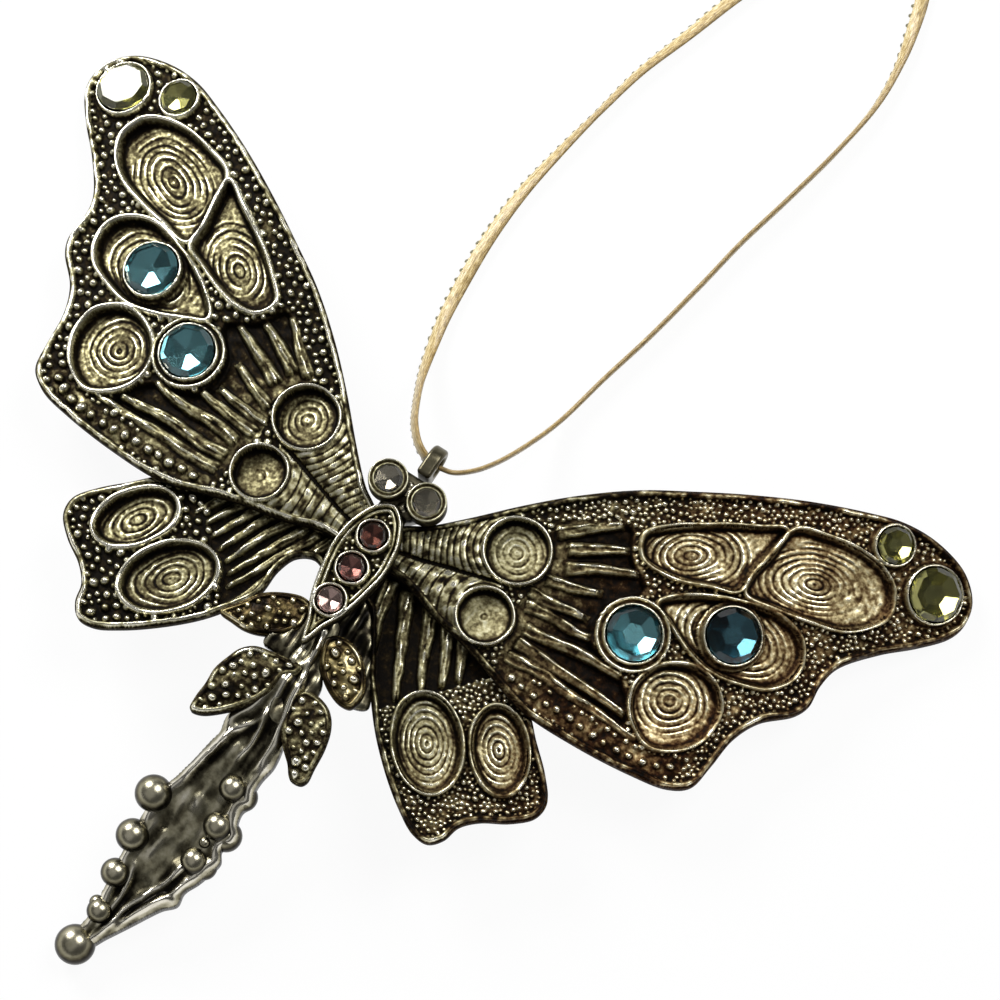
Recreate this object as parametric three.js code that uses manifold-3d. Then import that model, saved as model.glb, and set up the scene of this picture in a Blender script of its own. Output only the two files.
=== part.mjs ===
// Dragonfly ornament in antiqued gold-tone metal, with set stones and a braid to hang it by.
// Millimetres. +X to the right wing, +Y to the head, +Z to the front. It lies on z = 0, on its two
// fore-wing tips and the end of its tail.
import * as THREE from 'three';
import { mergeVertices } from 'three/addons/utils/BufferGeometryUtils.js';
import Module from 'manifold-3d';

const wasm = await Module();
wasm.setup();

// Clearances
const SEAT_GAP = 0.3;

// Wings. Heights are measured from the wing plane, the top of the fore wings at their roots.
const DROOP_START = 8;
const DROOP_RATE = 0.0032;
const FORE_THICK = 1.8;
const HIND_THICK = 1.6;
const BORDER_WIDTH = 1.0;
const BORDER_HEIGHT = 0.7;
const CELL_RIM_WIDTH = 0.8;
const CELL_RIM_HEIGHT = 0.9;
const CELL_DEPTH = 0.7;
const SWIRL_SHARE = 0.62;
const SWIRL_HEIGHT = 0.45;
const VEIN_WIDTH = 1.1;
const VEIN_HEIGHT = 0.5;
const VEIN_BED_DEPTH = 0.6;
const FAN_SCALES = 5;
const FAN_SIDES = 12;
const FAN_ROOT_RADIUS = 1.7;
const FAN_ROOT_HEIGHT = 0.5;
const DISC_HEIGHT = 1.2;
const DISC_LIP = 0.6;
const DISC_DISH = 0.8;

// Stones: cut chatons in closed cups
const AQUA_RADIUS = 3.55;
const GREEN_LARGE_RADIUS = 3.55;
const GREEN_SMALL_RADIUS = 2.4;
const EYE_RADIUS = 1.9;
const PINK_RADIUS = 1.7;
const STONE_SIDES = 12;
const TABLE_SHARE = 0.56;
const CROWN_SHARE = 0.32;
const PAVILION_SHARE = 0.46;
const CULET_SHARE = 0.12;
const CUP_WALL = 0.75;
const INNER_CUP_WALL = 1.1;
const CUP_HEIGHT = 1.4;
const GIRDLE_DROP = 0.35;
const CUP_ROOT = 1.2;

// Body
const SPINE_HALF_WIDTH = 2.2;
const SPINE_HEAD_END = 11;
const SPINE_TAIL_END = -12;
const THORAX_THICK = 1.5;
const THORAX_RIM_WIDTH = 0.9;
const THORAX_RIM_HEIGHT = 1.2;
const BEZEL_HEIGHT = 1.5;
const BEZEL_WALL = 0.45;
const PINK_SPACING = 5;
const HEAD_X = 0.5;
const HEAD_Y = 12.3;
const HEAD_FRONT = 9.2;
const HEAD_BACK = 14.9;
const HEAD_LOW = -2.4;
const HEAD_TOP = 1.4;
const HEAD_CHEEK = 1;
const HEAD_BACK_SHARE = 0.5;
const EYE_SPACING = 5.9;
const EYE_CUP_HEIGHT = 3.9;
const EYE_CUP_WALL = 0.45;
const LEAF_LOW = -0.8;
const LEAF_THICK = 2.2;
const LEAF_ROUND = 0.7;
const LEAF_ROUND_STEPS = 2;
const LEAF_CORE_SHARE = 0.8;
const WAIST_LOW = -0.9;
const WAIST_TOP = 0.6;
const TAIL_THICK = 3;
const TAIL_DISH_INSET = 1.1;
const TAIL_DISH_DEPTH = 0.5;
const TAIL_END_RADIUS = 2.65;
const TAIL_END_X = -4.6;
const TAIL_END_Y = -58.5;
const TAIL_END_LIFT = 1.05;
const TAIL_END_HALF = 1;

// Bail and braid
const BAIL_X = 0.9;
const BAIL_WIDTH = 2.4;
const BAIL_RADIUS = 2.4;
const BAIL_HOLE_RADIUS = 1.35;
const BAIL_HEIGHT = 0.6;
const BAIL_STEPS = 12;
const CORD_TUBE = 1.2;
const CORD_SIDES = 8;
const CORD_STEPS = 30;
const KNOT_RADIUS = 2.4;
const KNOT_SIDES = 14;
const KNOT_RINGS = 10;
const KNOT_SHAPE = [1, 0.85, 0.8];

// Plan outlines, taken anticlockwise round each form
const FORE_OUTLINE = [
  [1.5, 3.2], [6.5, 2.6], [12, 0.9], [17, 0], [22, -1.4], [28, -3], [36, -2.9], [44, -1.9], [48.8, -0.7],
  [51.2, 1.2], [51.9, 5], [52.4, 9.5], [54, 13.2], [57.4, 16.8], [58.3, 19], [58.1, 22], [58.7, 25.2],
  [62.3, 30.1], [66, 33.9], [68.9, 37.6], [69.6, 40.2], [68.9, 43], [66, 45.6], [61, 46.7], [56, 46.2],
  [51, 44.3], [44, 41], [37, 37.1], [31, 33.4], [25, 29.5], [19, 24.6], [14, 19.8], [8.5, 14], [5, 10.6],
  [1.5, 7.9],
];
// Each hind wing's edge next to the body: the left one leaves an opening, the right one runs under the leaf
const HIND_INNER = {
  left: [[1.5, -2.2], [5.4, -0.8], [7.6, -2], [8.6, -4.6], [8.9, -8.6], [11.6, -13]],
  right: [[1.5, -2.2], [2.8, -5], [3.2, -9], [5, -12.6], [9, -14.4], [11.4, -13.4]],
};
const HIND_OUTER = [
  [14, -15.9], [18, -19.5], [21.6, -22.1], [24.6, -23.7], [27, -23.8], [28.5, -22.2], [29.2, -19.8],
  [31, -17.8], [34.4, -15.6], [36.7, -13.2], [36.9, -10.8], [34.8, -8], [31.5, -5], [28, -1.8], [20, 1.6],
  [10, 3], [1.5, 3],
];
const CELL_TIP = [
  [44.4, 26.2], [48, 27], [52.3, 28.1], [56.7, 29.8], [59.3, 32.3], [60.3, 35], [59.2, 37.8], [56.8, 39.2],
  [53, 39.5], [48.6, 38.5], [45.2, 36.8], [44.6, 32], [43.9, 28.8],
];
const CELL_LEADING = [
  [42.9, 35.8], [40.6, 34.3], [36, 31.4], [31.4, 27.9], [28.9, 25], [30.2, 22.6], [34.3, 22.5], [39.6, 24.5],
  [42.2, 26], [42.4, 29], [42.9, 32.3],
];
const CELL_MIDDLE = [
  [35.2, 18.5], [37.6, 17.4], [41.2, 15.9], [45.3, 15.2], [49, 16], [52.4, 17.5], [54.2, 20], [54.3, 23],
  [52.8, 25.1], [49.4, 26.1], [44.4, 24.9], [38.6, 22],
];
const CELL_TRAILING = [
  [38.4, 8.4], [38.9, 6], [40.6, 3.9], [43.8, 2.5], [47.5, 4.6], [49.2, 8], [48.8, 11.8], [46.2, 14],
  [42.9, 14], [39.7, 12],
];
const VEIN_BED = [
  [20.6, 6], [22.4, 2], [30, 0.6], [38, 1.6], [37, 6.5], [35.6, 8.2], [30.6, 9.6], [30, 14.6], [33, 19],
  [29, 22], [27, 25], [22, 21.5], [18.6, 18.8], [21.4, 14], [20.4, 10.4],
];
const VEINS = [
  [[20.5, 3.6], [39.6, 3.9]], [[20.8, 6], [38.6, 7.6]], [[20.6, 8.2], [31, 10.4]], [[20, 10.6], [30.4, 13.2]],
  [[20.4, 13.4], [33, 19.8]], [[19.8, 16.6], [30, 22.8]], [[18.4, 18.2], [28.6, 26]],
];
const HIND_VEINS = [
  [[6.4, 1], [14.6, -10.6]], [[10.4, 1], [15.6, -8.4]], [[14, 0.6], [18.4, -7.8]],
  [[17.6, 0.4], [22.6, -6.6]],
];
const THORAX_OUTLINE = [
  [0, -11.6], [1.3, -8.4], [2.6, -5.6], [3.6, -1.8], [4.1, 2], [3.5, 6], [1.9, 8.9], [0, 10],
  [-1.9, 8.9], [-3.5, 6], [-4.1, 2], [-3.6, -1.8], [-2.6, -5.6], [-1.3, -8.4],
];
const TAIL_OUTLINE = [
  [-1.9, -8], [-2.2, -13], [-2.4, -18], [-3.2, -23], [-3.2, -27], [-3.9, -30.4], [-4.7, -33.6], [-5.8, -37],
  [-6, -40], [-5.8, -44], [-5.4, -49], [-5, -54],
  [TAIL_END_X - TAIL_END_HALF, TAIL_END_Y], [TAIL_END_X + TAIL_END_HALF, TAIL_END_Y],
  [-1.6, -55.6], [1.2, -51], [3.7, -47.4], [4.8, -43.6], [5.8, -40], [6.1, -36.4], [5.2, -33], [4.9, -29.4],
  [5.3, -25.6], [4.6, -22.4], [3.9, -18.6], [3, -13], [1.9, -8],
];
// Height of the tail's top along the body, as [y, z], from above its end to the thorax
const TAIL_PROFILE = [[-50, -8.1], [-42, -5.8], [-34, -3.4], [-27, -1.2], [-20, 0.7], [-13, 1.6], [-4, 1.8]];
// Balls along the tail's edges, as [x, y, radius], and how far they sink below its top
const TAIL_BALLS = [
  [-6.1, -37.3, 2.45], [-5.6, -43.1, 2.2], [-5, -48.2, 1.9], [-4.1, -53.3, 1.7],
  [2.6, -31.4, 1.8], [3.6, -36.4, 1.9], [3.2, -41.6, 1.8],
];
const BALL_SINK = 0.4;
const BALL_SIDES = 10;
const BALL_RINGS = 8;
// Leaves: upper left, lower left, upper right and lower right
const LEAVES = [
  [[-11.4, -13.6], [-9.3, -13.9], [-5.1, -13.2], [-2.8, -11.6], [-1.4, -8.2], [-3.3, -6.2], [-8.2, -8.7]],
  [
    [-7.4, -26.3], [-3.4, -24], [-0.1, -18.9], [1.6, -14.2], [-2.8, -14.4], [-5.4, -15.2], [-7.4, -18.4],
    [-7.7, -22.5],
  ],
  [[8.6, -15.4], [10.1, -13.4], [9.3, -10.9], [6.3, -8.2], [2.9, -8.2], [2.4, -10.6], [4.5, -13.7]],
  [
    [8.3, -26.9], [10, -26.6], [10.1, -24], [9, -18.5], [6, -16.1], [3.2, -16.4], [2.9, -19.4], [4.6, -23.2],
  ],
];
// The waist that carries the leaves' stems
const WAIST_OUTLINE = [
  [-2.9, -10.6], [-2.6, -13.4], [-0.6, -15.4], [0.4, -20.5], [2.6, -21.4], [4.4, -18], [4.6, -14.6],
  [3.6, -11], [2.4, -6.6], [-1.6, -6.6],
];

// Braid routes from the bail to the knot, as [x, y, height above the floor]
const CORD_LEFT_ROUTE = [
  [1.6, 17.6, 14.6], [0.2, 17.7, 14.6], [-1.8, 18.6, 14.3], [-4.2, 21, 12.4], [-6.4, 24.6, 8.6],
  [-8.4, 28.8, 4], [-9.8, 33, 1.4], [-11, 38.4, 0.7], [-11.8, 46.5, 0.7], [-12, 52, 0.7], [-11.7, 58.8, 0.7],
  [-10.5, 67, 0.7], [-9.2, 74, 0.7], [-7.6, 81.8, 0.7], [-5, 89.8, 0.7], [-2.3, 98.4, 0.7], [1, 106.5, 0.7],
  [5, 114, 0.8], [9.87, 120.36, 1.5],
];
const CORD_RIGHT_ROUTE = [
  [1.9, 17.6, 14.6], [3.6, 18, 14.5], [5.4, 19.8, 13], [7, 23, 10], [8.6, 28.4, 5.4], [10, 34.4, 1.8],
  [11.7, 42.7, 1.2], [13.6, 50.6, 1.2], [15.6, 60.9, 1.2], [16.9, 68.4, 1.2], [18.9, 77, 1.2],
  [20.9, 86.9, 1], [21.9, 95.2, 0.8], [21.5, 101.7, 0.7], [20.4, 107, 0.7], [18.8, 112.4, 0.7],
  [16.4, 117, 0.9], [13.48, 120.5, 1.5],
];
const KNOT_PLACE = [11.6, 122.3, 2];
const KNOT_TAIL_LENGTH = 9;
const KNOT_TAIL_SPREAD = 0.3;

// Finishes
const gold = new THREE.MeshStandardMaterial({ color: '#8a7d52', roughness: 0.38, metalness: 1 });
const pewter = new THREE.MeshStandardMaterial({ color: '#7d755c', roughness: 0.32, metalness: 1 });
const aqua = new THREE.MeshStandardMaterial({ color: '#5fb4cf', roughness: 0.06, metalness: 0 });
const peridot = new THREE.MeshStandardMaterial({ color: '#c3d38a', roughness: 0.06, metalness: 0 });
const crystal = new THREE.MeshStandardMaterial({ color: '#a9a69a', roughness: 0.06, metalness: 0 });
const rose = new THREE.MeshStandardMaterial({ color: '#8d5f5f', roughness: 0.06, metalness: 0 });
const satin = new THREE.MeshStandardMaterial({ color: '#c9b98a', roughness: 0.6, metalness: 0 });

// Solids and outlines

const SLAB_REACH = 100;
const CURVE_STEPS = 2;
const MERGE_DISTANCE = 1e-4;

function solid(geometry) {
  const bare = geometry.clone();
  bare.deleteAttribute('normal');
  bare.deleteAttribute('uv');
  const merged = mergeVertices(bare, MERGE_DISTANCE);
  return new wasm.Manifold(new wasm.Mesh({
    numProp: 3,
    vertProperties: new Float32Array(merged.attributes.position.array),
    triVerts: new Uint32Array(merged.index.array),
  }));
}

function closedCurve(points, steps = CURVE_STEPS) {
  const corners = points.map(([x, y]) => new THREE.Vector3(x, y, 0));
  const curve = new THREE.CatmullRomCurve3(corners, true, 'centripetal');
  return curve.getPoints(points.length * steps).slice(0, -1).map((p) => new THREE.Vector2(p.x, p.y));
}

function circle(x, y, radius, sides) {
  return new THREE.EllipseCurve(x, y, radius, radius).getPoints(sides).slice(0, -1);
}

function ellipse(x, y, long, short, turn, sides) {
  return new THREE.EllipseCurve(x, y, long, short, 0, 2 * Math.PI, false, turn).getPoints(sides).slice(0, -1);
}

// Distance from a point to the nearest edge of an outline.
function edgeDistance(point, outline) {
  const nearest = new THREE.Vector3();
  const probe = new THREE.Vector3(point.x, point.y, 0);
  const distances = outline.map((start, i) => {
    const end = outline[(i + 1) % outline.length];
    const edge = new THREE.Line3(new THREE.Vector3(start.x, start.y, 0), new THREE.Vector3(end.x, end.y, 0));
    return edge.closestPointToPoint(probe, true, nearest).distanceTo(probe);
  });
  return Math.min(...distances);
}

// Moves an anticlockwise outline outwards, or inwards where the distance is negative. Points that a sharp
// corner would fold over itself are left out.
const FOLD_SHARE = 0.9;
function grown(outline, distance) {
  const moved = outline.map((point, i) => {
    const before = outline[(i + outline.length - 1) % outline.length];
    const after = outline[(i + 1) % outline.length];
    const along = after.clone().sub(before).normalize();
    return new THREE.Vector2(point.x + along.y * distance, point.y - along.x * distance);
  });
  return moved.filter((point) => edgeDistance(point, outline) > FOLD_SHARE * Math.abs(distance));
}

// Shrinks an outline towards its middle.
function shrunk(outline, share) {
  const middle = outline.reduce((sum, p) => sum.add(p), new THREE.Vector2()).divideScalar(outline.length);
  return outline.map((p) => middle.clone().lerp(p, share));
}

function prism(outline, low, high) {
  const shape = new THREE.Shape(outline);
  const geometry = new THREE.ExtrudeGeometry(shape, { depth: high - low, bevelEnabled: false });
  geometry.translate(0, 0, low);
  return solid(geometry);
}

// A slab whose faces follow a height profile, the low and high faces being offsets from it.
function slab(profile, low, high) {
  const top = profile.points.map(([s, z]) => new THREE.Vector2(s, z + high));
  const bottom = profile.points.map(([s, z]) => new THREE.Vector2(s, z + low));
  const shape = new THREE.Shape([...bottom, ...top.reverse()]);
  const geometry = new THREE.ExtrudeGeometry(shape, { depth: 2 * SLAB_REACH, bevelEnabled: false });
  geometry.translate(0, 0, -SLAB_REACH);
  geometry.rotateX(Math.PI / 2);
  if (profile.along === 'y') geometry.rotateZ(Math.PI / 2);
  return solid(geometry);
}

const CUT_DEPTH = 40;

// The part of a plan outline that lies between two offsets of a height profile.
function plate(outline, profile, low, high) {
  return prism(outline, -CUT_DEPTH, CUT_DEPTH).intersect(slab(profile, low, high));
}

function bar([from, to], width) {
  const start = new THREE.Vector2(...from);
  const end = new THREE.Vector2(...to);
  const side = end.clone().sub(start).normalize().rotateAround(new THREE.Vector2(), Math.PI / 2);
  side.multiplyScalar(width / 2);
  return [start.clone().sub(side), end.clone().sub(side), end.clone().add(side), start.clone().add(side)];
}

function turned(profile, sides, matrix) {
  const geometry = new THREE.LatheGeometry(profile.map(([r, z]) => new THREE.Vector2(r, z)), sides);
  geometry.rotateX(Math.PI / 2);
  geometry.applyMatrix4(matrix);
  return solid(geometry);
}

function drum(radius, low, high, sides, matrix) {
  return turned([[0, low], [radius, low], [radius, high], [0, high]], sides, matrix);
}

// Wing surface

function droop(x) {
  const reach = Math.max(Math.abs(x) - DROOP_START, 0);
  return -DROOP_RATE * reach * reach;
}

function dropSlope(x) {
  return 2 * DROOP_RATE * Math.max(Math.abs(x) - DROOP_START, 0);
}

const foreOutline = closedCurve(FORE_OUTLINE);
const tipReach = Math.max(...foreOutline.map((p) => p.x));
const FLOOR = droop(tipReach) - FORE_THICK;

const PROFILE_STEP = 9;
const PROFILE_SPARE = 2;
const PROFILE_STEPS = Math.ceil((tipReach + PROFILE_SPARE - DROOP_START) / PROFILE_STEP);
const WING_PROFILE = { along: 'x', points: [[-DROOP_START, 0], [DROOP_START, 0]] };
for (let i = 1; i <= PROFILE_STEPS; i += 1) {
  const x = DROOP_START + i * PROFILE_STEP;
  WING_PROFILE.points.push([x, droop(x)]);
}

// A frame on the wing's surface, its Z along the surface's normal.
function onWing(x, y, lift = 0) {
  const turn = new THREE.Matrix4().makeRotationY(Math.atan(dropSlope(x)));
  return new THREE.Matrix4().makeTranslation(x, y, droop(x) + lift).multiply(turn);
}

// Stones

function stoneGeometry(radius) {
  const profile = [
    [0, -PAVILION_SHARE * radius], [CULET_SHARE * radius, -PAVILION_SHARE * radius], [radius, 0],
    [TABLE_SHARE * radius, CROWN_SHARE * radius], [0, CROWN_SHARE * radius],
  ];
  const geometry = new THREE.LatheGeometry(profile.map(([r, z]) => new THREE.Vector2(r, z)), STONE_SIDES);
  geometry.rotateX(Math.PI / 2);
  return geometry;
}

const CUP_SIDES = 16;

function cup(radius, wall, height, matrix) {
  return drum(radius + SEAT_GAP + wall, -CUP_ROOT, height, CUP_SIDES, matrix);
}

// The pocket that a stone drops into, with its clearance all round.
function stonePocket(radius, girdle, matrix) {
  const bore = radius + SEAT_GAP;
  const floor = girdle - PAVILION_SHARE * radius - SEAT_GAP;
  const profile = [[0, floor], [bore, floor], [bore, girdle + CUT_DEPTH], [0, girdle + CUT_DEPTH]];
  return turned(profile, CUP_SIDES, matrix);
}

const WING_STONES = [
  { name: 'green_stone_large', x: 64, y: 40.6, radius: GREEN_LARGE_RADIUS, wall: CUP_WALL, finish: peridot },
  {
    name: 'green_stone_small', x: 56.3, y: 42.8, radius: GREEN_SMALL_RADIUS, wall: CUP_WALL, finish: peridot,
  },
  { name: 'aqua_stone_outer', x: 45.2, y: 20.4, radius: AQUA_RADIUS, wall: CUP_WALL, finish: aqua },
  { name: 'aqua_stone_inner', x: 34.5, y: 13.2, radius: AQUA_RADIUS, wall: INNER_CUP_WALL, finish: aqua },
];
const WING_GIRDLE = CUP_HEIGHT - GIRDLE_DROP;

// Fore wing

const DISCS = [
  { x: 16.3, y: 13.9, radius: 4.65, root: [4.6, 8] },
  { x: 17.4, y: 4.5, radius: 4.0, root: [5.2, 3.6] },
];

function fan({ x, y, radius, root }) {
  let scales = null;
  for (let i = 0; i < FAN_SCALES; i += 1) {
    const share = i / FAN_SCALES;
    const r = THREE.MathUtils.lerp(FAN_ROOT_RADIUS, radius, share);
    const height = THREE.MathUtils.lerp(FAN_ROOT_HEIGHT, DISC_HEIGHT, share);
    const centre = new THREE.Vector2(...root).lerp(new THREE.Vector2(x, y), share);
    const scale = drum(r, -FORE_THICK / 2, height, FAN_SIDES, onWing(centre.x, centre.y));
    scales = scales ? scales.add(scale) : scale;
  }
  return scales;
}

function disc({ x, y, radius }) {
  return drum(radius, -FORE_THICK / 2, DISC_HEIGHT, CUP_SIDES, onWing(x, y));
}

function discDish({ x, y, radius }) {
  const inner = radius - DISC_LIP;
  return drum(inner, DISC_HEIGHT - DISC_DISH, CUT_DEPTH, CUP_SIDES, onWing(x, y));
}

// A recessed cell with a raised rim and a raised swirl on its floor.
function carveCell(wing, outline, base, profile, withSwirl) {
  const rim = plate(grown(outline, CELL_RIM_WIDTH), profile, base - CELL_DEPTH, base + CELL_RIM_HEIGHT);
  const hollow = plate(outline, profile, base - CELL_DEPTH, base + CUT_DEPTH);
  const cut = wing.add(rim).subtract(hollow);
  if (!withSwirl) return cut;
  const floor = base - CELL_DEPTH;
  return cut.add(plate(shrunk(outline, SWIRL_SHARE), profile, floor - SWIRL_HEIGHT, floor + SWIRL_HEIGHT));
}

// A wing plate with a raised border along its edge.
function borderedPlate(outline, profile, back, base) {
  const full = plate(outline, profile, back, base + BORDER_HEIGHT);
  return full.subtract(plate(grown(outline, -BORDER_WIDTH), profile, base, base + CUT_DEPTH));
}

const thoraxOutline = closedCurve(THORAX_OUTLINE);

function box(halfWidth, yLow, yHigh, zLow, zHigh) {
  const corners = [[-halfWidth, yLow], [halfWidth, yLow], [halfWidth, yHigh], [-halfWidth, yHigh]];
  return prism(corners.map(([x, y]) => new THREE.Vector2(x, y)), zLow, zHigh);
}

// The spine stands between the wing roots, from the hind wings' backs up into the thorax.
function spine() {
  const back = HIND_TOP - HIND_THICK;
  return box(SPINE_HALF_WIDTH, SPINE_TAIL_END, SPINE_HEAD_END, back, THORAX_LOW + THORAX_THICK / 2);
}

function spineRoom() {
  return box(SPINE_HALF_WIDTH + SEAT_GAP, -CUT_DEPTH, CUT_DEPTH, -CUT_DEPTH, CUT_DEPTH);
}

function foreWing() {
  let wing = borderedPlate(foreOutline, WING_PROFILE, -FORE_THICK, 0);
  wing = wing.subtract(plate(closedCurve(VEIN_BED, 1), WING_PROFILE, -VEIN_BED_DEPTH, CUT_DEPTH));
  for (const vein of VEINS) {
    wing = wing.add(plate(bar(vein, VEIN_WIDTH), WING_PROFILE, -FORE_THICK / 2, VEIN_HEIGHT));
  }
  for (const outline of [CELL_TIP, CELL_LEADING, CELL_TRAILING]) {
    wing = carveCell(wing, closedCurve(outline), 0, WING_PROFILE, true);
  }
  wing = carveCell(wing, closedCurve(CELL_MIDDLE), 0, WING_PROFILE, false);
  for (const place of DISCS) wing = wing.add(fan(place));
  for (const place of DISCS) wing = wing.add(disc(place)).subtract(discDish(place));
  for (const { x, y, radius, wall } of WING_STONES) {
    wing = wing.add(cup(radius, wall, CUP_HEIGHT, onWing(x, y)));
  }
  for (const { x, y, radius } of WING_STONES) {
    wing = wing.subtract(stonePocket(radius, WING_GIRDLE, onWing(x, y)));
  }
  return wing.subtract(prism(grown(thoraxOutline, SEAT_GAP), 0, CUT_DEPTH)).subtract(spineRoom());
}

// Hind wing, one thickness and a gap below the fore wing

const HIND_TOP = -FORE_THICK - SEAT_GAP;
const OVAL_SIDES = 22;
const OVALS = [
  { x: 20, y: -13, long: 6.4, short: 4.3, turn: -0.87 },
  { x: 28.2, y: -8.6, long: 5.6, short: 3.5, turn: -0.9 },
];

function hindWing(inner) {
  const outline = closedCurve([...inner, ...HIND_OUTER]);
  let wing = borderedPlate(outline, WING_PROFILE, HIND_TOP - HIND_THICK, HIND_TOP);
  for (const vein of HIND_VEINS) {
    const low = HIND_TOP - HIND_THICK / 2;
    wing = wing.add(plate(bar(vein, VEIN_WIDTH), WING_PROFILE, low, HIND_TOP + VEIN_HEIGHT));
  }
  for (const { x, y, long, short, turn } of OVALS) {
    wing = carveCell(wing, ellipse(x, y, long, short, turn, OVAL_SIDES), HIND_TOP, WING_PROFILE, true);
  }
  const underFore = plate(grown(foreOutline, SEAT_GAP), WING_PROFILE, HIND_TOP, CUT_DEPTH);
  const underThorax = prism(grown(thoraxOutline, SEAT_GAP), HIND_TOP, CUT_DEPTH);
  return wing.subtract(underFore).subtract(underThorax).subtract(spineRoom());
}

// Body casting

// The tail runs down to its end ball, which rests on the floor.
const TAIL_END_TOP = FLOOR + TAIL_END_RADIUS + TAIL_END_LIFT;
const TAIL_SIDE = {
  along: 'y',
  points: [[TAIL_END_Y - TAIL_END_RADIUS, TAIL_END_TOP], [TAIL_END_Y, TAIL_END_TOP], ...TAIL_PROFILE],
};

function tailTop(y) {
  const after = TAIL_SIDE.points.findIndex(([s]) => s >= y);
  const [y1, z1] = TAIL_SIDE.points[after];
  const [y0, z0] = TAIL_SIDE.points[after - 1];
  return THREE.MathUtils.mapLinear(y, y0, y1, z0, z1);
}

function ball(x, y, z, radius) {
  const geometry = new THREE.SphereGeometry(radius, BALL_SIDES, BALL_RINGS);
  geometry.rotateX(Math.PI / 2);
  geometry.translate(x, y, z);
  return solid(geometry);
}

function tail() {
  const outline = closedCurve(TAIL_OUTLINE, 1);
  let body = plate(outline, TAIL_SIDE, -TAIL_THICK, 0);
  body = body.subtract(plate(grown(outline, -TAIL_DISH_INSET), TAIL_SIDE, -TAIL_DISH_DEPTH, CUT_DEPTH));
  for (const [x, y, radius] of TAIL_BALLS) body = body.add(ball(x, y, tailTop(y) - BALL_SINK, radius));
  return body.add(ball(TAIL_END_X, TAIL_END_Y, FLOOR + TAIL_END_RADIUS, TAIL_END_RADIUS));
}

// A leaf with rounded edges.
function leaf(points) {
  const shape = new THREE.Shape(shrunk(closedCurve(points), LEAF_CORE_SHARE));
  const geometry = new THREE.ExtrudeGeometry(shape, {
    depth: LEAF_THICK - 2 * LEAF_ROUND,
    bevelThickness: LEAF_ROUND,
    bevelSize: LEAF_ROUND,
    bevelSegments: LEAF_ROUND_STEPS,
  });
  geometry.translate(0, 0, LEAF_LOW + LEAF_ROUND);
  return solid(geometry);
}

const THORAX_LOW = SEAT_GAP;
const THORAX_TOP = THORAX_LOW + THORAX_THICK;
const PINK_GIRDLE = THORAX_TOP + BEZEL_HEIGHT - GIRDLE_DROP;
const EYE_GIRDLE = EYE_CUP_HEIGHT - GIRDLE_DROP;
const EYE_CUP_LOW = BORDER_HEIGHT + SEAT_GAP;
const PINK_SEAT = {
  low: THORAX_LOW, girdle: PINK_GIRDLE, radius: PINK_RADIUS, wall: BEZEL_WALL, finish: rose,
};
const EYE_SEAT = {
  low: EYE_CUP_LOW, girdle: EYE_GIRDLE, radius: EYE_RADIUS, wall: EYE_CUP_WALL, finish: crystal,
};
const BODY_STONES = [
  { name: 'pink_stone_upper', x: 0, y: PINK_SPACING, ...PINK_SEAT },
  { name: 'pink_stone_middle', x: 0, y: 0, ...PINK_SEAT },
  { name: 'pink_stone_lower', x: 0, y: -PINK_SPACING, ...PINK_SEAT },
  { name: 'eye_stone_left', x: HEAD_X - EYE_SPACING / 2, y: HEAD_Y, ...EYE_SEAT },
  { name: 'eye_stone_right', x: HEAD_X + EYE_SPACING / 2, y: HEAD_Y, ...EYE_SEAT },
];

function at(x, y, z) {
  return new THREE.Matrix4().makeTranslation(x, y, z);
}

function thorax() {
  const rim = prism(thoraxOutline, THORAX_LOW, THORAX_TOP + THORAX_RIM_HEIGHT);
  const well = prism(grown(thoraxOutline, -THORAX_RIM_WIDTH), THORAX_TOP, CUT_DEPTH);
  return rim.subtract(well);
}

// The head's block under the eye cups: rounded at the front, flat behind where the bail is soldered.
function headBlock() {
  const half = EYE_SPACING / 2 + EYE_RADIUS;
  const neck = SPINE_HALF_WIDTH - HEAD_X;
  const back = HEAD_BACK_SHARE * half;
  const outline = [
    [HEAD_X - neck, HEAD_FRONT], [HEAD_X + neck, HEAD_FRONT],
    [HEAD_X + half, HEAD_Y], [HEAD_X + half, HEAD_Y + HEAD_CHEEK],
    [HEAD_X + back, HEAD_BACK], [HEAD_X - back, HEAD_BACK],
    [HEAD_X - half, HEAD_Y + HEAD_CHEEK], [HEAD_X - half, HEAD_Y],
  ];
  return prism(outline.map(([x, y]) => new THREE.Vector2(x, y)), HEAD_LOW, HEAD_TOP);
}

function bodyCasting() {
  const waist = prism(closedCurve(WAIST_OUTLINE, 1), WAIST_LOW, WAIST_TOP);
  let body = spine().add(thorax()).add(headBlock()).add(tail()).add(waist);
  for (const points of LEAVES) body = body.add(leaf(points));
  for (const { x, y, radius, low, girdle, wall } of BODY_STONES) {
    body = body.add(drum(radius + SEAT_GAP + wall, low, girdle + GIRDLE_DROP, CUP_SIDES, at(x, y, 0)));
  }
  for (const { x, y, radius, girdle } of BODY_STONES) {
    body = body.subtract(stonePocket(radius, girdle, at(x, y, 0)));
  }
  return body;
}

// Bail: a loop in the body's long plane, with the braid's hole across it

const BAIL_FOOT = HEAD_BACK + SEAT_GAP;
const BAIL_CENTRE_Y = BAIL_FOOT + BAIL_RADIUS;

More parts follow.
